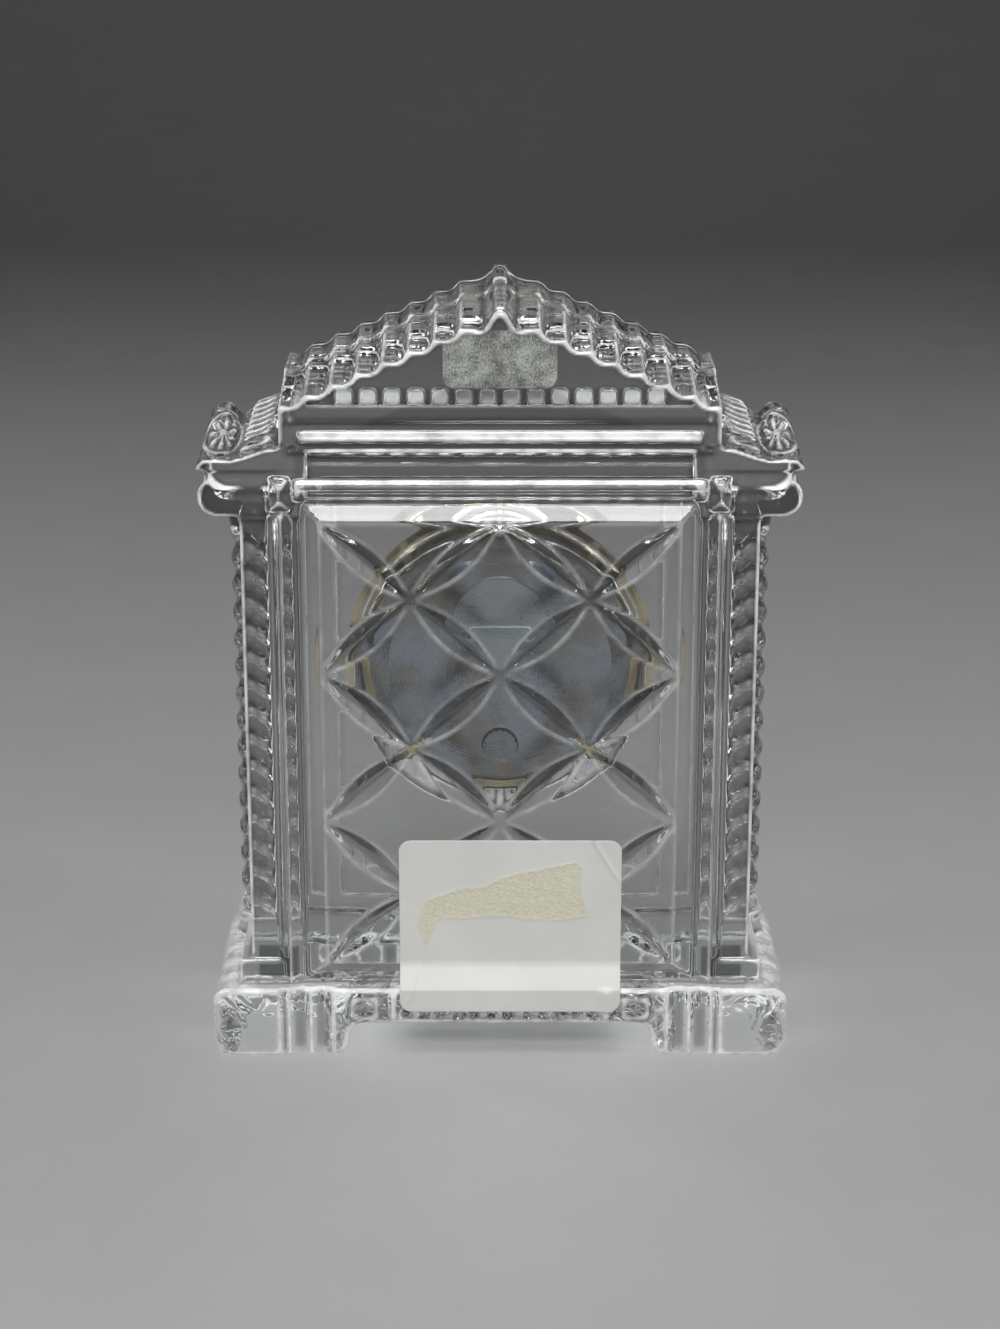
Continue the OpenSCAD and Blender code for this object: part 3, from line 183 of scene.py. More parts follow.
SCRATCH_FROM = 0.66
SCRATCHES = [((90, 90, 1700), 38), ((1500, 90, 80), -23)]


def turned(name, colour, centre, pitch_mm, rough, change, ring_mm, scratch_mm, stain=None):
    """Metal turned in a lathe: fine rings round an axis along Y, with scratches and faint stains."""
    mat, tree, shader, _ = tree_of(name)
    at = coords(tree, centre=centre)
    split = add(tree, "SeparateXYZ")
    tree.links.new(at, split.inputs[0])
    flat = add(tree, "CombineXYZ")
    tree.links.new(split.outputs["X"], flat.inputs["X"])
    tree.links.new(split.outputs["Z"], flat.inputs["Y"])
    length = add(tree, "VectorMath", operation="LENGTH")
    tree.links.new(flat.outputs[0], length.inputs[0])
    radius = length.outputs["Value"]
    rings = maths(tree, "SINE", maths(tree, "MULTIPLY", radius, 2 * math.pi / (pitch_mm * MM)))
    line = add(tree, "CombineXYZ")
    tree.links.new(radius, line.inputs["X"])
    uneven = noise_of(tree, line.outputs[0], 2600, detail=2)
    stains = noise_of(tree, at, 130, detail=3, distortion=0.4)
    dark, pale = shades(colour, change)
    tree.links.new(ramp(tree, stains, [(0.36, stain or dark), (0.62, pale)]), shader.inputs["Base Color"])
    scratches = [noise_of(tree, coords(tree, stretch, centre, (0, math.radians(turn), 0)), 1.0, detail=5)
                 for stretch, turn in SCRATCHES]
    rough_now = maths(tree, "MULTIPLY", spread(tree, uneven, *rough), spread(tree, scratches[0], 0.8, 1.35))
    tree.links.new(rough_now, shader.inputs["Roughness"])
    grain = maths(tree, "ADD", maths(tree, "MULTIPLY", rings, 0.3), uneven)
    under = bump(tree, shader, grain, 0.6, ring_mm * MM)
    marks = maths(tree, "ADD", *(maths(tree, "GREATER_THAN", scratch, SCRATCH_FROM) for scratch in scratches))
    bump(tree, shader, marks, 0.5, scratch_mm * MM, under)
    shader.inputs["Metallic"].default_value = 1
    return mat


def dress(names, material):
    """Gives its material to each CAD node that keeps its mesh."""
    for node in names:
        mesh = nodes[node].data
        mesh.materials.clear()
        mesh.materials.append(material)


def linked(name, data, material=None):
    obj = bpy.data.objects.new(name, data)
    bpy.context.scene.collection.objects.link(obj)
    if material is not None:
        obj.data.materials.clear()
        obj.data.materials.append(material)
    return obj


def piece(name, data, material, body, replaced=None):
    """A new piece of the clock, on its body."""
    obj = linked(name, data, material)
    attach(obj, body)
    if replaced:
        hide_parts(replaced)
    return obj


# Crystal
VOXEL = 0.4 * MM
GLASS_IOR = 1.55
# GLASS is the clear glass colour; SHADED_GLASS is painted shade beside edges; the white and the near-black
# colours below are a painted highlight on ridges and painted shade in creases
GLASS = (0.84, 0.852, 0.848)
SHADED_GLASS = (0.07, 0.073, 0.075)
PAINTED_HIGHLIGHT = (0.98, 0.98, 0.98)
PAINTED_CREASE_SHADE = (0.03, 0.03, 0.032)
CRYSTAL_SHADOW = (0.86, 0.87, 0.87)
# Shares by which the painted ridge highlight and the painted crease shade take the place of clear glass
RIDGE_HIGHLIGHT = 0.8
CREASE_SHADE = 0.5
RIPPLE = 26.0


def lets_lamps_through(tree, shader, out, clear):
    """Rays from the lamps go through, dimmed at each face, to light what is inside and soften the shadow."""
    path = add(tree, "LightPath")
    window = add(tree, "BsdfTransparent", {"Color": (*clear, 1)})
    mix = add(tree, "MixShader")
    tree.links.new(path.outputs["Is Shadow Ray"], mix.inputs[0])
    tree.links.new(shader.outputs[0], mix.inputs[1])
    tree.links.new(window.outputs[0], mix.inputs[2])
    tree.links.new(mix.outputs[0], out.inputs["Surface"])


def crystal_material():
    """Clear glass: painted highlight along ridges, painted shade along creases and beside edges, and rippled
    in the base.
    """
    mat, tree, shader, out = tree_of("crystal")
    shader.inputs["IOR"].default_value = GLASS_IOR
    place = coords(tree)
    edge, shade, cast = (add(tree, "Attribute", attribute_name=mark).outputs["Fac"]
                         for mark in ("edge", "shade", "cast"))
    # The glint noise varies the painted highlight along ridges; ridge and crease are the shares of painted
    # highlight and painted shade in the glass's colour
    glint = spread(tree, noise_of(tree, place, 210, detail=2), 0.5, 1.0, 0.36, 0.6)
    ridge = maths(tree, "MULTIPLY", maths(tree, "MAXIMUM", edge, 0.0), glint)
    ridge = maths(tree, "MINIMUM", ridge, 1.0)
    crease = maths(tree, "MAXIMUM", maths(tree, "MULTIPLY", edge, -1.0), 0.0)
    clear = blended(tree, ridge, blended(tree, shade, GLASS, SHADED_GLASS), PAINTED_HIGHLIGHT)
    tree.links.new(blended(tree, crease, clear, PAINTED_CREASE_SHADE), shader.inputs["Base Color"])
    highlight_share = maths(tree, "MULTIPLY", ridge, RIDGE_HIGHLIGHT)
    solid = maths(tree, "ADD", highlight_share, maths(tree, "MULTIPLY", crease, CREASE_SHADE))
    tree.links.new(maths(tree, "SUBTRACT", 1.0, solid), shader.inputs["Transmission Weight"])
    wave = noise_of(tree, place, 110, detail=2, distortion=0.3)
    ripple = maths(tree, "MULTIPLY", noise_of(tree, place, 260, detail=1, distortion=0.8), cast)
    height = maths(tree, "ADD", wave, maths(tree, "MULTIPLY", ripple, RIPPLE))
    bump(tree, shader, height, 0.35, 0.09 * MM)
    tree.links.new(spread(tree, noise_of(tree, place, 700), 0.0, 0.01), shader.inputs["Roughness"])
    lets_lamps_through(tree, shader, out, CRYSTAL_SHADOW)
    return mat


def evaluated(obj):
    """The mesh that an object's modifiers or curve make. The object is deleted."""
    mesh = bpy.data.meshes.new_from_object(obj.evaluated_get(bpy.context.evaluated_depsgraph_get()))
    bpy.data.objects.remove(obj)
    return mesh


def voxelled(source, voxel):
    """A closed copy of a mesh with evenly spaced points."""
    mesh = source.data.copy()
    weld = bmesh.new()
    weld.from_mesh(mesh)
    bmesh.ops.remove_doubles(weld, verts=weld.verts, dist=0.0005 * MM)
    weld.to_mesh(mesh)
    weld.free()
    obj = linked("voxelled", mesh)
    remesh = obj.modifiers.new("remesh", "REMESH")
    remesh.mode = "VOXEL"
    remesh.voxel_size = voxel
    remesh.use_smooth_shade = True
    baked = evaluated(obj)
    bpy.data.meshes.remove(mesh)
    return baked


def points_of(mesh):
    co = np.empty(len(mesh.vertices) * 3, np.float32)
    mesh.vertices.foreach_get("co", co)
    return co.reshape(-1, 3).astype(np.float64)


def set_points(mesh, co):
    mesh.vertices.foreach_set("co", co.astype(np.float32).ravel())
    mesh.update()


def edges_of(mesh):
    pairs = np.empty(len(mesh.edges) * 2, np.int32)
    mesh.edges.foreach_get("vertices", pairs)
    return pairs.reshape(-1, 2)


def normals_of(mesh):
    directions = np.empty(len(mesh.vertices) * 3, np.float32)
    mesh.vertices.foreach_get("normal", directions)
    return directions.reshape(-1, 3)


def softened(co, pairs, weight, rounds):
    """Moves each point towards the mean of its neighbours, by its weight."""
    count = np.bincount(pairs.ravel(), minlength=len(co))[:, None].clip(1)
    for _ in range(rounds):
        total = np.zeros_like(co)
        for axis in range(3):
            total[:, axis] = np.bincount(pairs[:, 0], co[pairs[:, 1], axis], len(co))
            total[:, axis] += np.bincount(pairs[:, 1], co[pairs[:, 0], axis], len(co))
        co = co + 0.5 * weight[:, None] * (total / count - co)
    return co


def rises(value, span):
    """0 below a span and 1 above it, with a smooth step between."""
    start, end = span
    t = np.clip((value - start) / (end - start), 0, 1)
    return t * t * (3 - 2 * t)


def falls(value, span):
    """1 below a span and 0 above it, with a smooth step between."""
    return 1 - rises(value, span)


# Spans over which each zone of the crystal begins and ends, in mm: out from the middle, forward, back or up
ZONES = {
    "base": {"up": (None, (14, 15))},
    "cornice": {"up": ((104, 106), (120, 122))},
    "wings": {"out": ((36, 37), None)},
    "end_tops": {"out": ((40.2, 41.2), (53.2, 54)), "back": ((-15.6, -14.8), (13.8, 14.6)),
                 "up": ((110.5, 111.5), None)},
    "rippled": {"up": (None, (14, 16))},
    "lattice": {"out": (None, (35, 36)), "back": ((8, 9), None), "up": ((16, 17), (103, 104))},
    "ropes": {"out": ((39, 40), None), "forward": ((5, 6), None), "up": ((21, 22), (101, 102))},
    "dial_frame": {"out": (None, (34, 35)), "forward": ((6, 7), None), "up": ((16, 17), (101, 102))},
    "panel_foot": {"back": ((8, 9), None), "up": ((14, 15), (16, 58))},
    "base_back": {"up": (None, (13, 14))},
    "frieze": {"out": (None, (36, 37)), "up": ((104, 105), None)},
    "rails": {"out": (None, (36, 37)), "back": ((6, 8), None), "up": ((105.5, 106.2), (124, 126))},
    "dentils": {"out": (None, (34, 35))},
    "base_top": {"out": ((45.4, 46.2), None), "up": ((11.5, 12.5), (15.5, 16.5))},
    "underside": {"up": (None, (0.6, 1.2))},
    "plinth_backs": {"out": ((37, 38), (45, 46)), "back": ((10, 11), None), "up": ((14.2, 15), (20.5, 21.5))},
}


def zone(name, co):
    """1 inside a zone of the crystal and 0 outside it, fading over its spans."""
    ways = {"out": np.abs(co[:, 0]), "forward": -co[:, 1], "back": co[:, 1], "up": co[:, 2]}
    inside = np.ones(len(co))
    for way, (begins, ends) in ZONES[name].items():
        if begins:
            inside *= rises(ways[way] / MM, begins)
        if ends:
            inside *= falls(ways[way] / MM, ends)
    return inside


BORE_R = 30 * MM
CORNICE_SOFT, WING_SOFT, BORE_SOFT = 0.4, 0.35, 0.2
EVEN_ROUNDS, SOFT_ROUNDS = 2, 3


def rounded(mesh, pairs):
    """Points with softer edges: most in the pressed base, and least in the roof and the bore."""
    co = points_of(mesh)
    pressed = np.maximum(zone("base", co), CORNICE_SOFT * zone("cornice", co))
    pressed = np.maximum(pressed, WING_SOFT * zone("wings", co))
    pressed[np.hypot(co[:, 0] - clock_x, co[:, 2] - clock_z) < BORE_R] *= BORE_SOFT
    co = softened(co, pairs, np.ones(len(co)), EVEN_ROUNDS)
    return softened(co, pairs, pressed, SOFT_ROUNDS)


# Ornament on the tops of the cornice ends, in mm: places as (out from the middle, back)
ROSETTE_AT, ROSETTE_HALF, PETALS = (50.2, 1.5), (3.3, 10.5), 8
PETAL_H, HEART_H, RING_H, SCALE_H, BAR_H = 0.32, 0.4, 0.3, 0.3, 0.75
HEART_R, RING_R, RING_W = 0.3, 1.05, 0.1
SCALES_OUT, SCALES_IN, SCALES_BACK = (41.3, 42.0), (45.8, 46.6), (5.5, 6.6)
SCALE_PITCH, SCALE_CURVE, SCALE_MIDDLE = 3.1, 0.22, 44
BAR_AT, BAR_HALF = (43.6, 10.4), (3.0, 2.3)
FACING_END_TOP = (0.45, 0.8)


def end_relief(out, back):
    """Height of the ornament: a rosette in a ring, scales and a bar."""
    du, dv = (out - ROSETTE_AT[0]) / ROSETTE_HALF[0], (back - ROSETTE_AT[1]) / ROSETTE_HALF[1]
    far = np.hypot(du, dv)
    petals = np.cos(PETALS * np.arctan2(dv, du)) * np.sin(np.pi * np.clip(far, 0, 1)) ** 2
    heart = np.clip(1 - (far / HEART_R) ** 2, 0, 1)
    ring = np.exp(-((far - RING_R) / RING_W) ** 2)
    rosette = PETAL_H * petals + HEART_H * heart + RING_H * ring
    scaly = rises(out, SCALES_OUT) * falls(out, SCALES_IN) * falls(back, SCALES_BACK)
    scale_place = back + SCALE_CURVE * (out - SCALE_MIDDLE) ** 2
    scales = SCALE_H * scaly * np.cos(2 * np.pi * scale_place / SCALE_PITCH)
    bar_u, bar_v = (out - BAR_AT[0]) / BAR_HALF[0], (back - BAR_AT[1]) / BAR_HALF[1]
    bar = BAR_H * np.sqrt(np.clip(1 - bar_u ** 4 - bar_v ** 2, 0, 1))
    return rosette + scales + bar


def with_ornament(co, facing):
    """Points with the ornament pressed on the tops of the cornice ends."""
    height = rises(facing[:, 2], FACING_END_TOP) * zone("end_tops", co)
    height *= end_relief(np.abs(co[:, 0]) / MM, co[:, 1] / MM)
    return co + facing * (height * MM)[:, None]


# How the marks are found: bends in voxels, facing as a share of the normal, and places in mm
BEND_GAIN = 1.6
NEAR_ROUNDS, WIDE_ROUNDS = 2, 12
NEAR_BEND, WIDE_BEND = (0.03, 0.13), (0.06, 0.35)
LATTICE_LESS_BEND, RIPPLED_LESS_BEND = (0.014, 0.05), (0.012, 0.065)
LATTICE_LESS_EDGE, LATTICE_LESS_SHADE = 0.45, 0.2
FRAME_LESS_EDGE, FRAME_LESS_SHADE = 0.8, 0.7
FACING_BACK, FACING_UP, FACING_RAIL, FACING_DOWN = (0.6, 0.9), (0.5, 0.8), (0.15, 0.6), (0.7, 0.9)
# Strengths of painted shade: beside edges, on the ropes, on the panel's foot, on the base's back and on the
# frieze
BESIDE_SHADE, ROPE_SHADE, FOOT_SHADE, BASE_SHADE, FRIEZE_SHADE = 0.84, 0.66, 0.55, 0.3, 0.5
# Strengths of painted highlight on the rails, the dentils and the underside, and of the banded painted
# highlight on the top of the base
RAIL_HIGHLIGHT, DENTIL_HIGHLIGHT, UNDERSIDE_HIGHLIGHT = 0.95, 2.2, 0.4
BAND_HIGHLIGHT, BAND_SWING, BAND_PITCH = 0.45, 0.25, 6.5
PEDIMENT_TOP, PEDIMENT_SLOPE = 131, 0.4
DENTIL_DROP, DENTIL_REACH = 4, (-1.4, -1)
DENTIL_MIDDLE, DENTIL_FOOT, DENTIL_HEAD = (0.6, 2.2), (-0.2, 0.4), (2.6, 3.4)


def bend_of(co, pairs, facing, rounds):
    """How far each point stands out from its surroundings, in voxels."""
    level = softened(co, pairs, np.full(len(co), BEND_GAIN), rounds)
    return np.einsum("ij,ij->i", co - level, facing) / VOXEL


def dentil_fronts(co, facing):
    """1 on the fronts of the dentils, which stand in front of the wall between them, for their painted
    highlight.
    """
    forward, over = -co[:, 1] / MM, (co[:, 2] - low("front_label").z) / MM + DENTIL_DROP
    fronts = rises(-facing[:, 1], FACING_BACK) * zone("dentils", co)
    front = forward[(fronts > 0.5) & (over > DENTIL_MIDDLE[0]) & (over < DENTIL_MIDDLE[1])].max()
    fronts *= rises(forward - front, DENTIL_REACH)
    return fronts * rises(over, DENTIL_FOOT) * falls(over, DENTIL_HEAD)


def marks_of(co, pairs, facing):
    """Marks on the crystal's points, for its material.

    edge: above 0 for painted highlight on ridges and some faces, and below 0 for painted shade in creases
    shade: painted shade, where the glass is painted dark, such as beside an edge
    cast: the rippled base
    """
    out, forward, up = np.abs(co[:, 0]) / MM, -co[:, 1] / MM, co[:, 2] / MM
    faces_back = rises(facing[:, 1], FACING_BACK)
    lattice, rippled = zone("lattice", co), zone("rippled", co)

    # Painted highlight on ridges and painted shade in creases, which begin at a slighter bend in the lattice
    # and the base, and painted shade beside edges
    bend = bend_of(co, pairs, facing, NEAR_ROUNDS)
    bend = softened(np.repeat(bend[:, None], 3, 1), pairs, np.ones(len(co)), 1)[:, 0]
    span = [least - less * lattice - still_less * rippled
            for least, less, still_less in zip(NEAR_BEND, LATTICE_LESS_BEND, RIPPLED_LESS_BEND)]
    edge = (rises(bend, span) - rises(-bend, span)) * (1 - LATTICE_LESS_EDGE * lattice)
    beside = rises(np.abs(bend_of(co, pairs, facing, WIDE_ROUNDS)), WIDE_BEND)
    shade = BESIDE_SHADE * beside * (1 - LATTICE_LESS_SHADE * lattice)

    # Rope columns: painted shade on the strands between painted highlights in the grooves
    ropes = zone("ropes", co)
    edge = edge * (1 - ropes) + ropes * np.maximum(-edge, 0)
    shade = np.maximum(shade, ROPE_SHADE * ropes)

    # Frame round the dial: its painted highlight and shade are faint from behind
    dial_frame = zone("dial_frame", co)
    edge *= 1 - FRAME_LESS_EDGE * dial_frame
    shade *= 1 - FRAME_LESS_SHADE * dial_frame

    # Painted shade on the foot of the panel, back of the base, frieze and backs of the plinths
    frieze = faces_back * zone("frieze", co) * rises(PEDIMENT_TOP - PEDIMENT_SLOPE * out - up, (0, 1))
    for dark in (FOOT_SHADE * zone("panel_foot", co), BASE_SHADE * faces_back * zone("base_back", co),
                 FRIEZE_SHADE * frieze, faces_back * zone("plinth_backs", co)):
        shade = np.maximum(shade, dark)

    # Painted highlight on the tops of the rails, fronts of the dentils and underside, and banded painted
    # highlight on the top of the base
    band = BAND_HIGHLIGHT + BAND_SWING * np.cos(2 * np.pi * forward / BAND_PITCH)
    for highlight_mark in (RAIL_HIGHLIGHT * rises(facing[:, 2], FACING_RAIL) * zone("rails", co),
                  DENTIL_HIGHLIGHT * dentil_fronts(co, facing),
                  band * rises(facing[:, 2], FACING_UP) * zone("base_top", co),
                  UNDERSIDE_HIGHLIGHT * rises(-facing[:, 2], FACING_DOWN) * zone("underside", co)):
        edge = np.maximum(edge, highlight_mark)
    return {"edge": edge, "shade": shade * (1 - np.abs(edge)), "cast": rippled}


crystal_mesh = voxelled(nodes["crystal_body"], VOXEL)
links = edges_of(crystal_mesh)
at = rounded(crystal_mesh, links)
set_points(crystal_mesh, at)
at = with_ornament(at, normals_of(crystal_mesh))
set_points(crystal_mesh, at)
for mark, values in marks_of(at, links, normals_of(crystal_mesh)).items():
    attribute = crystal_mesh.attributes.new(mark, "FLOAT", "POINT")
    attribute.data.foreach_set("value", values.astype(np.float32))
piece("crystal", crystal_mesh, crystal_material(), "case", "crystal_body")

# Insert and movement
TURNED = [
    # Pieces, material, colour, axis, pitch of the rings in mm, roughness, change of tone, height of the rings
    # and of the scratches in mm, and colour of the stains
    (["bezel"], "bezel_gold", (0.82, 0.71, 0.47), clock_axis, 0.3, (0.09, 0.16), 0.05, 0.001, 0.001),
    (["reflector_ring"],
     "reflector_gold", (0.78, 0.68, 0.46), clock_axis, 0.16, (0.24, 0.34), 0.06, 0.006, 0.002),
    (["back_can"], "can_steel", (0.38, 0.42, 0.48), clock_axis, 0.62, (0.16, 0.26), 0.1, 0.03, 0.003,
     (0.33, 0.3, 0.27)),
    (["battery_hatch"], "hatch_steel", (0.46, 0.5, 0.54), hatch_axis, 0.5, (0.24, 0.36), 0.14, 0.008, 0.01),
    (["dial_nut"], "nut_brass", (0.78, 0.58, 0.28), clock_axis, 0.2, (0.2, 0.3), 0.1, 0.006, 0.006),
    (["setting_knob"], "knob_metal", (0.34, 0.36, 0.4), knob_axis, 0.45, (0.22, 0.34), 0.2, 0.02, 0.004),
    (["cannon_pinion"], "pinion_brass", (0.78, 0.6, 0.3), clock_axis, 0.15, (0.2, 0.3), 0.1, 0.006, 0.006),
    (["battery"], "cell_steel", (0.68, 0.68, 0.69), hatch_axis, 0.3, (0.22, 0.32), 0.1, 0.006, 0.006),
]
MOTTLED = [
    # Pieces, material, colour, change of tone, scale of the grain, metallic, roughness, height of the grain
    # in mm, and other sockets
    (["dial"], "dial_paint", (0.88, 0.865, 0.81), 0.025, 900, 0.0, (0.3, 0.4), 0.003, {}),
    (["hour_hand", "minute_hand", "second_hand"],
     "hand_paint", (0.014, 0.014, 0.016), 0.3, 500, 0.0, (0.18, 0.28), 0.002, {"Coat_Weight": 0.5}),
    (["movement_ring"], "white_plastic", (0.82, 0.82, 0.79), 0.04, 700, 0.0, (0.4, 0.55), 0.006, {}),
    (["front_plate", "middle_plate", "rear_plate", "coil_bobbin"],
     "black_plastic", (0.028, 0.028, 0.031), 0.2, 700, 0.0, (0.42, 0.6), 0.008, {}),
    (["grip_ring"], "grip_rubber", (0.04, 0.04, 0.042), 0.25, 500, 0.0, (0.6, 0.8), 0.02, {}),
    (["hour_wheel", "minute_wheel", "third_wheel", "step_wheel"],
     "gear_plastic", (0.8, 0.75, 0.58), 0.05, 800, 0.0, (0.3, 0.42), 0.004, {"Subsurface_Weight": 0.1}),
    (["centre_wheel", "seconds_wheel"],
     "gear_white", (0.85, 0.85, 0.83), 0.04, 800, 0.0, (0.3, 0.42), 0.004, {}),
    (["rotor"], "rotor_magnet", (0.16, 0.16, 0.17), 0.2, 1500, 0.8, (0.3, 0.45), 0.006, {}),
    (["stator", "coil_core"], "core_iron", (0.48, 0.48, 0.5), 0.12, 1200, 1.0, (0.3, 0.45), 0.006, {}),
    (["plate_screws", "stator_screws"],
     "screw_steel", (0.6, 0.6, 0.62), 0.1, 1500, 1.0, (0.2, 0.34), 0.004, {}),
    (["quartz_can"], "tin_can", (0.7, 0.7, 0.7), 0.06, 900, 1.0, (0.22, 0.3), 0.004, {}),
    (["chip"], "chip_resin", (0.015, 0.015, 0.016), 0.2, 600, 0.0, (0.12, 0.25), 0.01, {}),
    (["contact_negative", "contact_positive"],
     "contact_metal", (0.74, 0.64, 0.4), 0.08, 900, 1.0, (0.22, 0.34), 0.004, {}),
]

for worn_by, *look in TURNED:
    dress(worn_by, turned(*look))
for worn_by, *look, sockets in MOTTLED:
    dress(worn_by, mottled(*look, **sockets))

WIRE_PITCH = 0.12 * MM


def wound():
    """Enamelled wire in even turns along the coil."""
    mat, tree, shader, _ = tree_of("copper_wire")
    place = coords(tree)
    split = add(tree, "SeparateXYZ")
    tree.links.new(place, split.inputs[0])
    turns = maths(tree, "SINE", maths(tree, "MULTIPLY", split.outputs["Z"], 2 * math.pi / WIRE_PITCH))
    tones = [(0.3, (0.5, 0.2, 0.07)), (0.7, (0.72, 0.33, 0.13))]
    tree.links.new(ramp(tree, noise_of(tree, place, 900), tones), shader.inputs["Base Color"])
    tree.links.new(spread(tree, turns, 0.25, 0.45, -1, 1), shader.inputs["Roughness"])
    bump(tree, shader, turns, 0.8, 0.03 * MM)
    shader.inputs["Metallic"].default_value = 1
    return mat


def soldered():
    """Green resist over tracks, which stand a little proud."""
    mat, tree, shader, _ = tree_of("board_resist")
    place = coords(tree)
    cells = add(tree, "TexBrick",
                {"Scale": 330.0, "Mortar Size": 0.12, "Brick Width": 0.9, "Row Height": 0.3})
    tree.links.new(coords(tree, rotation=(math.pi / 2, 0, 0)), cells.inputs["Vector"])
    tracks = maths(tree, "GREATER_THAN", cells.outputs["Fac"], 0.5)
    resist = blended(tree, tracks, (0.02, 0.13, 0.055), (0.05, 0.24, 0.1))
    tree.links.new(resist, shader.inputs["Base Color"])
    tree.links.new(spread(tree, noise_of(tree, place, 900), 0.2, 0.35), shader.inputs["Roughness"])
    bump(tree, shader, tracks, 0.6, 0.02 * MM)
    return mat


def dusty_glass():
    """The lens: clear glass with a little dust."""
    mat, tree, shader, out = tree_of("lens_glass")
    shader.inputs["Base Color"].default_value = (0.99, 0.995, 0.99, 1)
    shader.inputs["Transmission Weight"].default_value = 1
    shader.inputs["IOR"].default_value = 1.5
    dust = noise_of(tree, coords(tree), 1400)
    tree.links.new(spread(tree, dust, 0.0, 0.02), shader.inputs["Roughness"])
    lets_lamps_through(tree, shader, out, (0.95, 0.95, 0.95))
    return mat


dress(["coil"], wound())
dress(["circuit_board"], soldered())
dress(["lens"], dusty_glass())

# Dial printing: hour numbers and a minute track
print_black = mottled("dial_print", (0.015, 0.015, 0.017), 0.2, 900, 0.0, (0.4, 0.55), 0.002)
PRINT_T = 0.03 * MM
MINUTES = 60
TRACK_R = 21.2 * MM
# Half width of a mark, and radius of its inner end
HOUR_MARK = (0.22 * MM, 19.4 * MM)
MINUTE_MARK = (0.08 * MM, 20.2 * MM)
NUMERAL_R = 16.2 * MM
NUMERAL_H = 4.4 * MM


def dial_place(turn, radius, lift):
    """A place on the dial, at an angle from 12 o'clock, clockwise as seen from the front."""
    return Vector((clock_x + radius * math.sin(turn), dial_front - lift, clock_z + radius * math.cos(turn)))


def track_mesh():
    """A thin raised mark for each minute, wider and longer at the hours."""
    made = bmesh.new()
    for i in range(MINUTES):
        turn = 2 * math.pi * i / MINUTES
        half, inner = MINUTE_MARK if i % 5 else HOUR_MARK
        out_way = Vector((math.sin(turn), 0, math.cos(turn)))
        side_way = Vector((math.cos(turn), 0, -math.sin(turn)))
        corners = [(inner, -half), (inner, half), (TRACK_R, half), (TRACK_R, -half)]
        rings = []
        for lift in (0.0, PRINT_T):
            middle = Vector((clock_x, dial_front - lift, clock_z))
            rings.append([made.verts.new(middle + out_way * r + side_way * s) for r, s in corners])
        made.faces.new(rings[0][::-1])
        made.faces.new(rings[1])
        for k in range(4):
            after = (k + 1) % 4
            made.faces.new([rings[0][k], rings[0][after], rings[1][after], rings[1][k]])
    bmesh.ops.recalc_face_normals(made, faces=made.faces)
    mesh = bpy.data.meshes.new("minute_track")
    made.to_mesh(mesh)
    made.free()
    return mesh


def numeral_mesh(hour, radius, size):
    """One hour number, upright, facing the front."""
    curve = bpy.data.curves.new("numeral", "FONT")
    curve.body = str(hour)
    curve.size = size
    curve.align_x = "CENTER"
    curve.align_y = "CENTER"
    curve.extrude = PRINT_T / 2
    curve.resolution_u = 6
    mesh = evaluated(linked("numeral", curve))
    co = points_of(mesh)
    middle = (co.max(0) + co.min(0)) / 2
    place = dial_place(2 * math.pi * hour / 12, radius, PRINT_T / 2)
    shift = Matrix.Translation(place) @ Matrix.Rotation(math.pi / 2, 4, "X")
    mesh.transform(shift @ Matrix.Translation((-middle[0], -middle[1], 0)))
    return mesh


def joined(meshes, name):
    """One mesh of several, which are deleted."""
    made = bmesh.new()
    for mesh in meshes:
        made.from_mesh(mesh)
        bpy.data.meshes.remove(mesh)
    mesh = bpy.data.meshes.new(name)
    made.to_mesh(mesh)
    made.free()
    return mesh


numerals = joined([numeral_mesh(hour, NUMERAL_R, NUMERAL_H) for hour in range(1, 13)], "dial_numerals")
piece("dial_numerals", numerals, print_black, "insert")
piece("minute_track", track_mesh(), print_black, "insert")

# Back label: a bent sheet with a torn layer
LABEL_GRID = ((180, 200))
EVEN_ROWS, BEND_ROWS = 0.65, 9
LABEL_T = 0.16 * MM
CORNER = 2.2 * MM
PANEL_FOOT, BEND_TOP = 18 * MM, 13.5 * MM
BOSS_RISE = 0.5 * MM
BEAD_X, BEAD_W, BEAD_END = -19.9 * MM, 1.25 * MM, (12.8 * MM, 14.3 * MM)
WAVES, WAVE_SIZES = 14, (300, 1100)
# Relief of the sheet, in mm: heights, then the fold, the wrinkle at a corner, and the torn layer with its rim
WAVE_H, FOLD_H, WRINKLE_H, FIBRE_H, RIM_H = 0.03, 0.12, 0.16, 0.03, 0.05
FOLD_AT, FOLD_LEAN, FOLD_W, FOLD_FOOT, FOLD_HEAD = (15.5, 17), 0.25, 0.35, (10, 12), (17, 19)
WRINKLE_AT, WRINKLE_LEAN, WRINKLE_W, WRINKLE_FOOT, WRINKLE_END = (-20, 38), -0.6, 0.5, (33, 36), (-17, -14)
TEAR_WANDER, TEAR_SPAN, RIM_IN, RIM_W = 0.9, (-0.25, 0.25), 0.1, 0.35
TORN = [(14.8, 29.6), (13.5, 31.3), (3, 34), (-8, 37.2), (-14.2, 38.3), (-15.3, 37.2), (-15.2, 31),
        (-16.2, 27.5), (-10, 26.9), (2, 27.4), (11.5, 27.2), (12.8, 24), (13.6, 21.5), (15.2, 25.5)]
label_lo, label_hi = low("back_label"), high("back_label")
base_face = high("crystal_body").y - BOSS_RISE


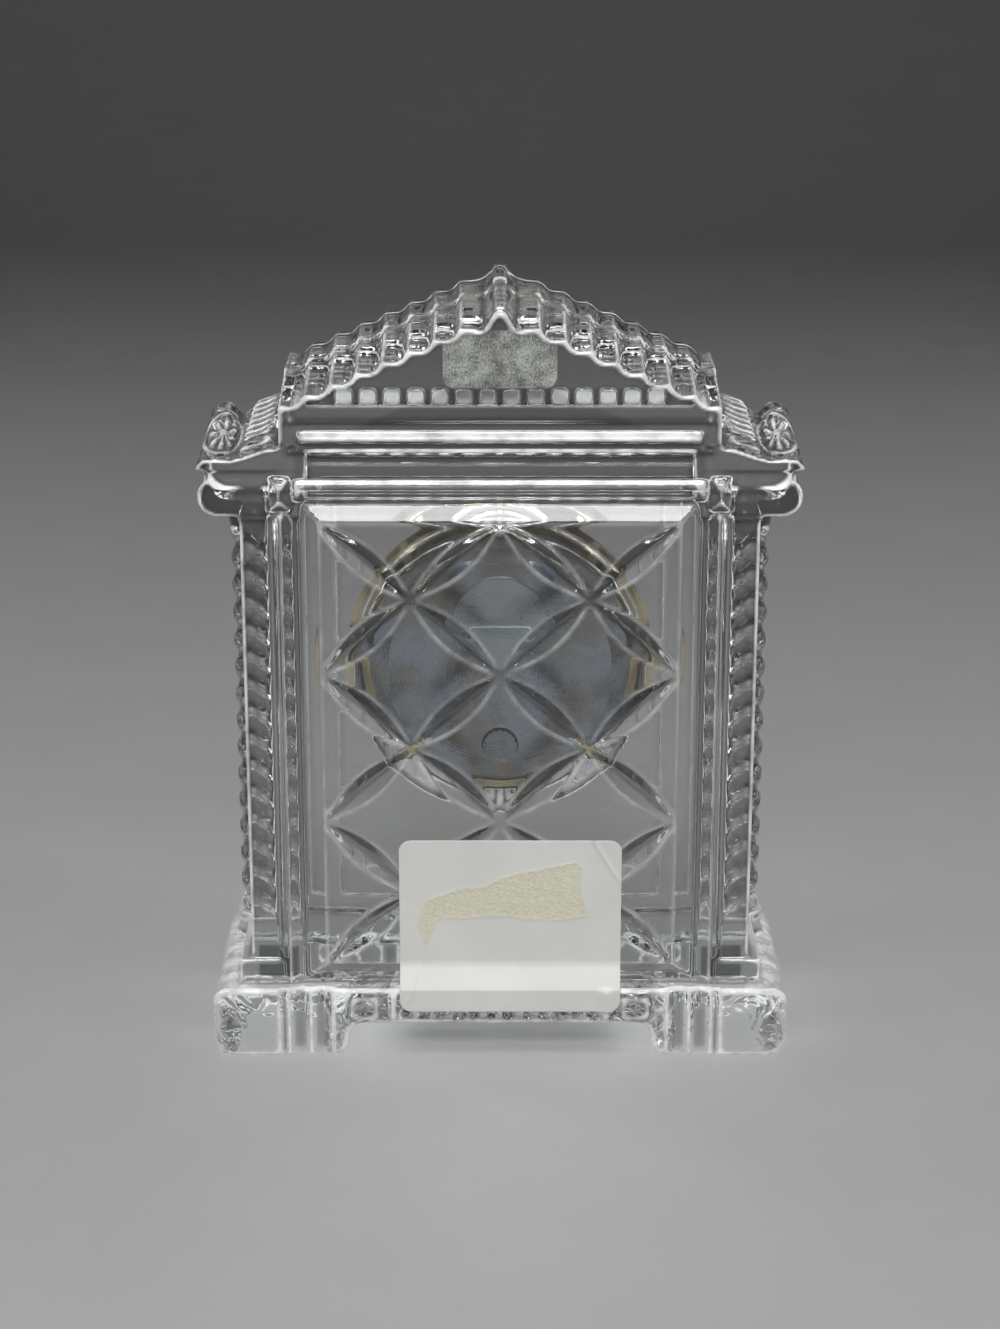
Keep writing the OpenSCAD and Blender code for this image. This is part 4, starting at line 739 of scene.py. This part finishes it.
def inside_distance(x, z, outline):
    """Signed distance to an outline, above 0 inside."""
    nearest = np.full(x.shape, np.inf)
    inside = np.zeros(x.shape, bool)
    for (x0, z0), (x1, z1) in zip(outline, outline[1:] + outline[:1]):
        dx, dz = x1 - x0, z1 - z0
        t = np.clip(((x - x0) * dx + (z - z0) * dz) / (dx * dx + dz * dz), 0, 1)
        nearest = np.minimum(nearest, np.hypot(x - x0 - t * dx, z - z0 - t * dz))
        crosses = (z0 > z) != (z1 > z)
        inside ^= crosses & (x < dx * (z - z0) / (dz if dz else 1) + x0)
    return np.where(inside, nearest, -nearest)


def label_surface(columns, rows):
    """Grid of places on the label's inner face: round corners, bent over the base's edge and its bead."""
    closer = (1 - np.cos(np.linspace(0, math.pi, rows))) / 2
    share = closer * (1 - EVEN_ROWS) + np.linspace(0, 1, rows) * EVEN_ROWS
    z = label_lo.z + share * (label_hi.z - label_lo.z)
    from_end = np.minimum(z - label_lo.z, label_hi.z - z)
    arc = np.sqrt(np.clip(CORNER ** 2 - (CORNER - from_end) ** 2, 0, None))
    half = (label_hi.x - label_lo.x) / 2 - np.where(from_end < CORNER, CORNER - arc, 0)
    x = (label_hi.x + label_lo.x) / 2 + half[:, None] * np.linspace(-1, 1, columns)[None, :]
    y = label_lo.y + (base_face - label_lo.y) * np.clip((PANEL_FOOT - z) / (PANEL_FOOT - BEND_TOP), 0, 1)
    mean = np.convolve(np.pad(y, BEND_ROWS // 2, "edge"), np.ones(BEND_ROWS) / BEND_ROWS, "valid")
    y = np.maximum(y, mean)
    y, z = np.repeat(y[:, None], columns, 1), np.repeat(z[:, None], columns, 1)
    over = np.exp(-((x - BEAD_X) / BEAD_W) ** 2) * falls(z, BEAD_END)
    return x, y + BOSS_RISE * over, z


def label_relief(x, z):
    """Height of the label's waves, folds and torn layer, in mm, and a mark where the layer is torn off."""
    rng = np.random.default_rng(SEED)
    wave = np.zeros_like(x)
    for _ in range(WAVES):
        direction, size = rng.uniform(0, 2 * math.pi), rng.uniform(*WAVE_SIZES)
        along = (x * math.cos(direction) + z * math.sin(direction)) * size
        wave += np.sin(along + rng.uniform(0, 7)) / WAVES
    x, z = x / MM, z / MM
    fold = np.exp(-((x - FOLD_AT[0] + FOLD_LEAN * (z - FOLD_AT[1])) / FOLD_W) ** 2)
    fold *= rises(z, FOLD_FOOT) * falls(z, FOLD_HEAD)
    wrinkle = np.exp(-((x - WRINKLE_AT[0] + WRINKLE_LEAN * (z - WRINKLE_AT[1])) / WRINKLE_W) ** 2)
    wrinkle *= rises(z, WRINKLE_FOOT) * falls(x, WRINKLE_END)
    edge = inside_distance(x, z, TORN) + TEAR_WANDER * wave
    torn = rises(edge, TEAR_SPAN)
    rim = np.exp(-((edge - RIM_IN) / RIM_W) ** 2)
    fibre = rng.normal(0, 1, x.shape)
    fibre = (fibre + np.roll(fibre, 1, 0) + np.roll(fibre, 1, 1) + np.roll(fibre, (1, 1), (0, 1))) / 4
    height = WAVE_H * (1 + wave) + FOLD_H * fold + WRINKLE_H * wrinkle
    return height + FIBRE_H * torn * fibre + RIM_H * rim, torn


def label_mesh():
    """A closed sheet in the place of the label's solid, with a mark on the points of its torn layer."""
    columns, rows = LABEL_GRID
    count = columns * rows
    x, y, z = label_surface(columns, rows)
    height, torn = label_relief(x, z)
    y = y + height * MM
    outer = np.stack([x, y + LABEL_T, z], -1).reshape(-1, 3)
    inner = np.stack([x, y, z], -1).reshape(-1, 3)
    index = np.arange(count).reshape(rows, columns)
    a, b, c, d = index[:-1, :-1], index[:-1, 1:], index[1:, 1:], index[1:, :-1]
    upper = np.stack([a, d, c, b], -1).reshape(-1, 4).tolist()
    lower = (np.stack([a, b, c, d], -1) + count).reshape(-1, 4).tolist()
    around = np.concatenate([index[0], index[1:, -1], index[-1, :-1][::-1], index[1:-1, 0][::-1]])
    after = np.roll(around, -1)
    walls = np.stack([around, after, after + count, around + count], -1).tolist()
    mesh = bpy.data.meshes.new("back_label_sheet")
    mesh.from_pydata(np.concatenate([outer, inner]).tolist(), [], upper + lower + walls)
    fix = bmesh.new()
    fix.from_mesh(mesh)
    bmesh.ops.recalc_face_normals(fix, faces=fix.faces)
    fix.to_mesh(mesh)
    fix.free()
    mark = mesh.attributes.new("torn", "FLOAT", "POINT")
    mark.data.foreach_set("value", np.concatenate([torn.ravel(), np.zeros(count)]).astype(np.float32))
    mesh.polygons.foreach_set("use_smooth", [True] * len(mesh.polygons))
    return mesh


def label_material():
    """White paper, with yellowed fibres where its top layer is torn off."""
    mat, tree, shader, _ = tree_of("label_paper")
    place = coords(tree)
    torn = add(tree, "Attribute", attribute_name="torn").outputs["Fac"]
    broad = noise_of(tree, place, 60, detail=3)
    fine = noise_of(tree, place, 2200, detail=3)
    fibres = noise_of(tree, coords(tree, (1500, 1500, 3800), rotation=(0, 0.5, 0)), 1.0, detail=5)
    paper = ramp(tree, broad, [(0.35, (0.73, 0.73, 0.695)), (0.65, (0.79, 0.79, 0.76))])
    yellowed = ramp(tree, fibres, [(0.35, (0.66, 0.635, 0.48)), (0.62, (0.8, 0.78, 0.64))])
    tree.links.new(blended(tree, torn, paper, yellowed), shader.inputs["Base Color"])
    rough = maths(tree, "ADD", spread(tree, fine, 0.42, 0.52), maths(tree, "MULTIPLY", torn, 0.4))
    tree.links.new(rough, shader.inputs["Roughness"])
    height = maths(tree, "ADD", maths(tree, "MULTIPLY", fine, 0.25), maths(tree, "MULTIPLY", torn, fibres))
    bump(tree, shader, height, 0.5, 0.05 * MM)
    shader.inputs["Subsurface Weight"].default_value = 0.12
    shader.inputs["Subsurface Radius"].default_value = (0.3 * MM, 0.3 * MM, 0.25 * MM)
    return mat


piece("back_label_sheet", label_mesh(), label_material(), "case", "back_label")


def frosted_foil():
    """The grainy back of a foil label."""
    mat, tree, shader, _ = tree_of("label_foil")
    place = coords(tree)
    grain = noise_of(tree, coords(tree, (1, 1, 0.6)), 3600, detail=2, rough=0.7)
    blots = noise_of(tree, place, 420, detail=4)
    worn = maths(tree, "ADD", maths(tree, "MULTIPLY", grain, 0.6), maths(tree, "MULTIPLY", blots, 0.4))
    tones = [(0.42, (0.14, 0.14, 0.136)), (0.5, (0.32, 0.33, 0.305)), (0.6, (0.55, 0.565, 0.53))]
    tree.links.new(ramp(tree, worn, tones), shader.inputs["Base Color"])
    tree.links.new(spread(tree, grain, 0.35, 0.6), shader.inputs["Roughness"])
    bump(tree, shader, worn, 0.8, 0.06 * MM)
    shader.inputs["Metallic"].default_value = 0.3
    return mat


dress(["front_label"], frosted_foil())

# Camera, at the photograph's angle
CAMERA_Y = 0.493
CAMERA_Z = 0.2314
CAMERA_TILT = 18
FOCAL_PX = 2770
IMAGE_W = 1000
SENSOR_W = 36

camera_data = bpy.data.cameras.new("camera")
camera_data.sensor_fit = "HORIZONTAL"
camera_data.sensor_width = SENSOR_W
camera_data.lens = FOCAL_PX / IMAGE_W * SENSOR_W
camera_data.clip_start = 0.01
camera = linked("camera", camera_data)
camera.location = (0, CAMERA_Y, CAMERA_Z)
camera.rotation_euler = (math.radians(90 - CAMERA_TILT), 0, math.radians(180))
bpy.context.scene.camera = camera


# Floor, backdrop and light
SWEEP_STEPS = 24
CENTRE = (0, 0, 0.07)
LAMPS = [  # name, place, aim, width, height and power
    ("top", (0, 0.14, 0.56), CENTRE, 0.3, 0.14, 0.9),
    ("left", (-0.6, 0.2, 0.3), CENTRE, 0.1, 0.4, 0.9),
    ("right", (0.6, 0.2, 0.3), CENTRE, 0.1, 0.4, 0.9),
    ("back_left", (-0.5, -0.4, 0.4), CENTRE, 0.1, 0.36, 0.5),
    ("back_right", (0.5, -0.4, 0.4), CENTRE, 0.1, 0.36, 0.5),
    ("front", (0, 0.58, 0.66), (0, 0, 0.11), 0.5, 0.19, 3.8),
]
WORLD_COLOUR, WORLD_STRENGTH = (0.6, 0.62, 0.65), 0.02


def stage_material(name, colour, rough):
    """A plain surface, a little uneven in tone."""
    mat, tree, shader, _ = tree_of(name)
    grain = noise_of(tree, coords(tree), 40, detail=3)
    dark = tuple(c * 0.97 for c in colour)
    tree.links.new(ramp(tree, grain, [(0.35, dark), (0.65, colour)]), shader.inputs["Base Color"])
    shader.inputs["Roughness"].default_value = rough
    return mat


def sweep(name, half_w, y_near, y_far, radius, height, material):
    """A floor that turns up into a backdrop with a round corner."""
    mesh = bpy.data.meshes.new(name)
    profile = [(y_near, 0)]
    for a in np.linspace(0, math.pi / 2, SWEEP_STEPS + 1):
        profile.append((y_far - radius * math.sin(a), radius * (1 - math.cos(a))))
    profile.append((y_far - radius, height))
    verts = [(x, y, z) for y, z in profile for x in (-half_w, half_w)]
    faces = [(2 * i, 2 * i + 1, 2 * i + 3, 2 * i + 2) for i in range(len(profile) - 1)]
    mesh.from_pydata(verts, [], faces)
    mesh.polygons.foreach_set("use_smooth", [True] * len(faces))
    linked(name, mesh, material)


sweep("floor", half_w=3, y_near=3, y_far=-0.9, radius=0.6, height=2.5,
      material=stage_material("floor_pale", (0.4, 0.4, 0.4), 0.55))


def area(name, place, aim, width, height, power):
    data = bpy.data.lights.new(name, "AREA")
    data.energy = power
    data.shape = "RECTANGLE"
    data.size = width
    data.size_y = height
    obj = linked(name, data)
    obj.location = place
    obj.rotation_euler = (Vector(aim) - Vector(place)).to_track_quat("-Z", "Y").to_euler()


for lamp in LAMPS:
    area(*lamp)

world = bpy.data.worlds.new("world")
world.use_nodes = True
background = world.node_tree.nodes["Background"]
background.inputs["Color"].default_value = (*WORLD_COLOUR, 1)
background.inputs["Strength"].default_value = WORLD_STRENGTH
bpy.context.scene.world = world
bpy.context.scene.view_settings.view_transform = "Standard"
